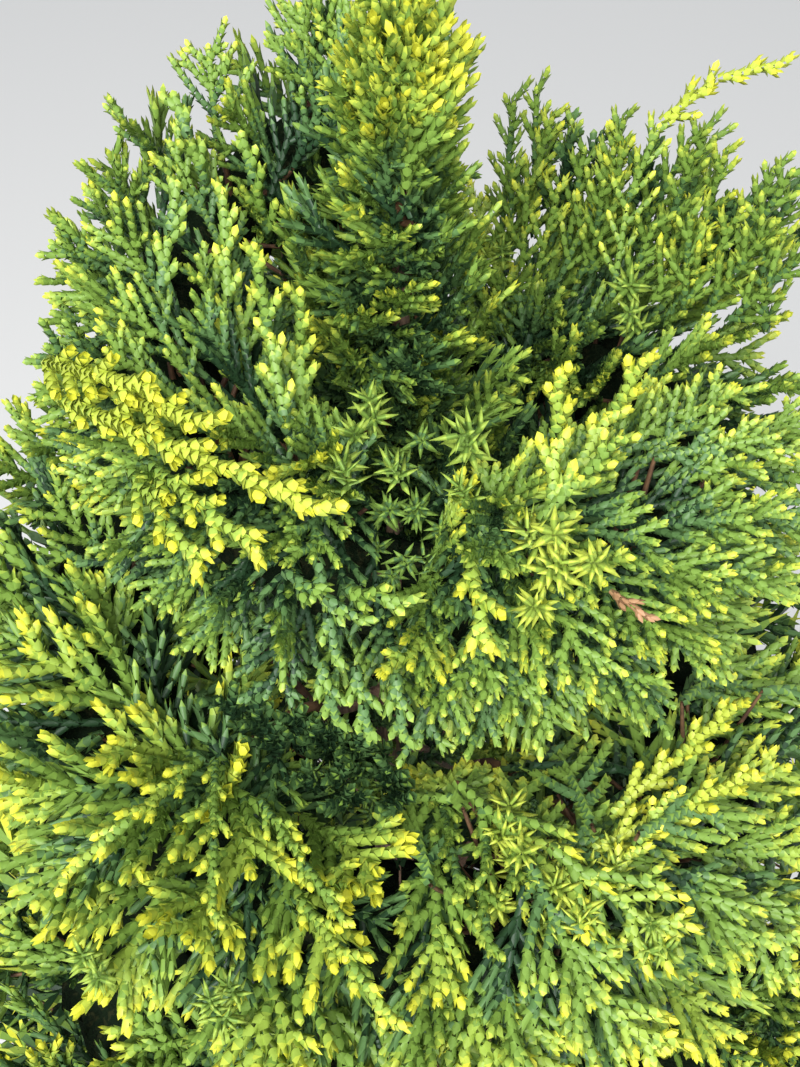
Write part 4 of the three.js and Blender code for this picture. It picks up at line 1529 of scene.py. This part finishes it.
def make_compost(soil, chips):
    """Crumbly compost, level under the trunk, with bark chips lying on it."""
    foot = POT_FLOOR + SEAT_GAP
    edge = filling_radius(SOIL_TOP - SOIL_EDGE_DIP)
    profile = [(0, foot), (filling_radius(foot), foot)]
    profile += [(edge * (1 - ring / SOIL_RINGS) + 0.01, 0) for ring in range(SOIL_RINGS)]
    profile.append((0, SOIL_TOP - 0.1))
    points, triangles = lathe(profile, SOIL_SIDES)
    for point in points[SOIL_SIDES:-2]:
        radius = math.hypot(point[0], point[1])
        place = Vector((point[0] * 0.16, point[1] * 0.16, 0))
        lumps = 1.3 * noise.noise(place) + 0.9 * noise.noise(place * 3.1) + 0.5 * noise.noise(place * 8)
        level = min(max((radius - FLARE_RADIUS - 1) / 10, 0), 1)
        point[2] = soil_height(radius) + lumps * level - 0.1
    stand_in(new_piece("compost_surface", points, triangles, [soil]), "compost")
    rng = np.random.default_rng(CHIP_SEED)
    nearest = FLARE_RADIUS + CHIP_MARGIN
    block = np.array([[x, y, z] for x in (-1, 1) for y in (-1, 1) for z in (-1, 1)])
    made = []
    for _ in range(CHIPS):
        angle = TAU * rng.random()
        radius = nearest + (edge - CHIP_MARGIN - nearest) * math.sqrt(rng.random())
        centre = radius * outward_at(angle) + (soil_height(radius) + 0.4) * UP
        size = np.array([1.6 + 4.5 * rng.random() ** 2, 1.2 + 2 * rng.random(), 0.5 + 0.9 * rng.random()])
        spin = Matrix.Rotation(TAU * rng.random(), 3, "Z")
        turn = np.array(spin @ Matrix.Rotation(rng.normal(0, 0.35), 3, "X"))
        corners = block * (0.75 + 0.5 * rng.random((8, 3)))
        made.append((centre + (corners * size) @ turn.T, CHIP_FACES))
    scattered = new_piece("bark_chips", *joined(made), [chips], smooth=False)
    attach(scattered, "root")


FLOOR_HALF_SIZE = 4000
LIGHT_TARGET = (0, 0, 0.6)


def make_stage():
    corners = FLOOR_HALF_SIZE * np.array([[-1, -1, 0], [1, -1, 0], [1, 1, 0], [-1, 1, 0]])
    floor = new_piece("studio_floor", corners, [[0, 1, 2], [0, 2, 3]], [floor_finish()], smooth=False)


def soft_light(name, place, size, watts):
    data = bpy.data.lights.new(name, "AREA")
    data.energy = watts
    data.size = size
    light = bpy.data.objects.new(name, data)
    bpy.context.scene.collection.objects.link(light)
    light.location = place
    light.rotation_euler = (Vector(LIGHT_TARGET) - light.location).to_track_quat("-Z", "Y").to_euler()


def make_lights():
    soft_light("overhead_light", (-0.35, -1.05, 1.85), 1.1, 52)
    soft_light("side_light", (1.4, -1.2, 1.5), 1.2, 8)
    world = bpy.data.worlds.new("studio_air")
    world.use_nodes = True
    background = world.node_tree.nodes["Background"]
    background.inputs["Color"].default_value = (0.86, 0.9, 0.95, 1)
    background.inputs["Strength"].default_value = 0.68
    bpy.context.scene.world = world


set_camera()
bpy.context.scene.view_settings.view_transform = "Standard"
leaf_materials = leaf_finishes()
twig_material = twig_finish()
painted_shade_material = painted_shade_finish()
bark_material = bark_finish()
make_trunk(bark_material)
make_plume(leaf_materials, twig_material)
for number in range(QUARTERS):
    if number >= QUARTERS_ON_TRUNK:
        make_bough(number, bark_material)
    make_foliage(number, leaf_materials, twig_material, painted_shade_material)
make_pot(pot_finish())
make_compost(compost_finish(), chip_finish())
make_stage()
make_lights()
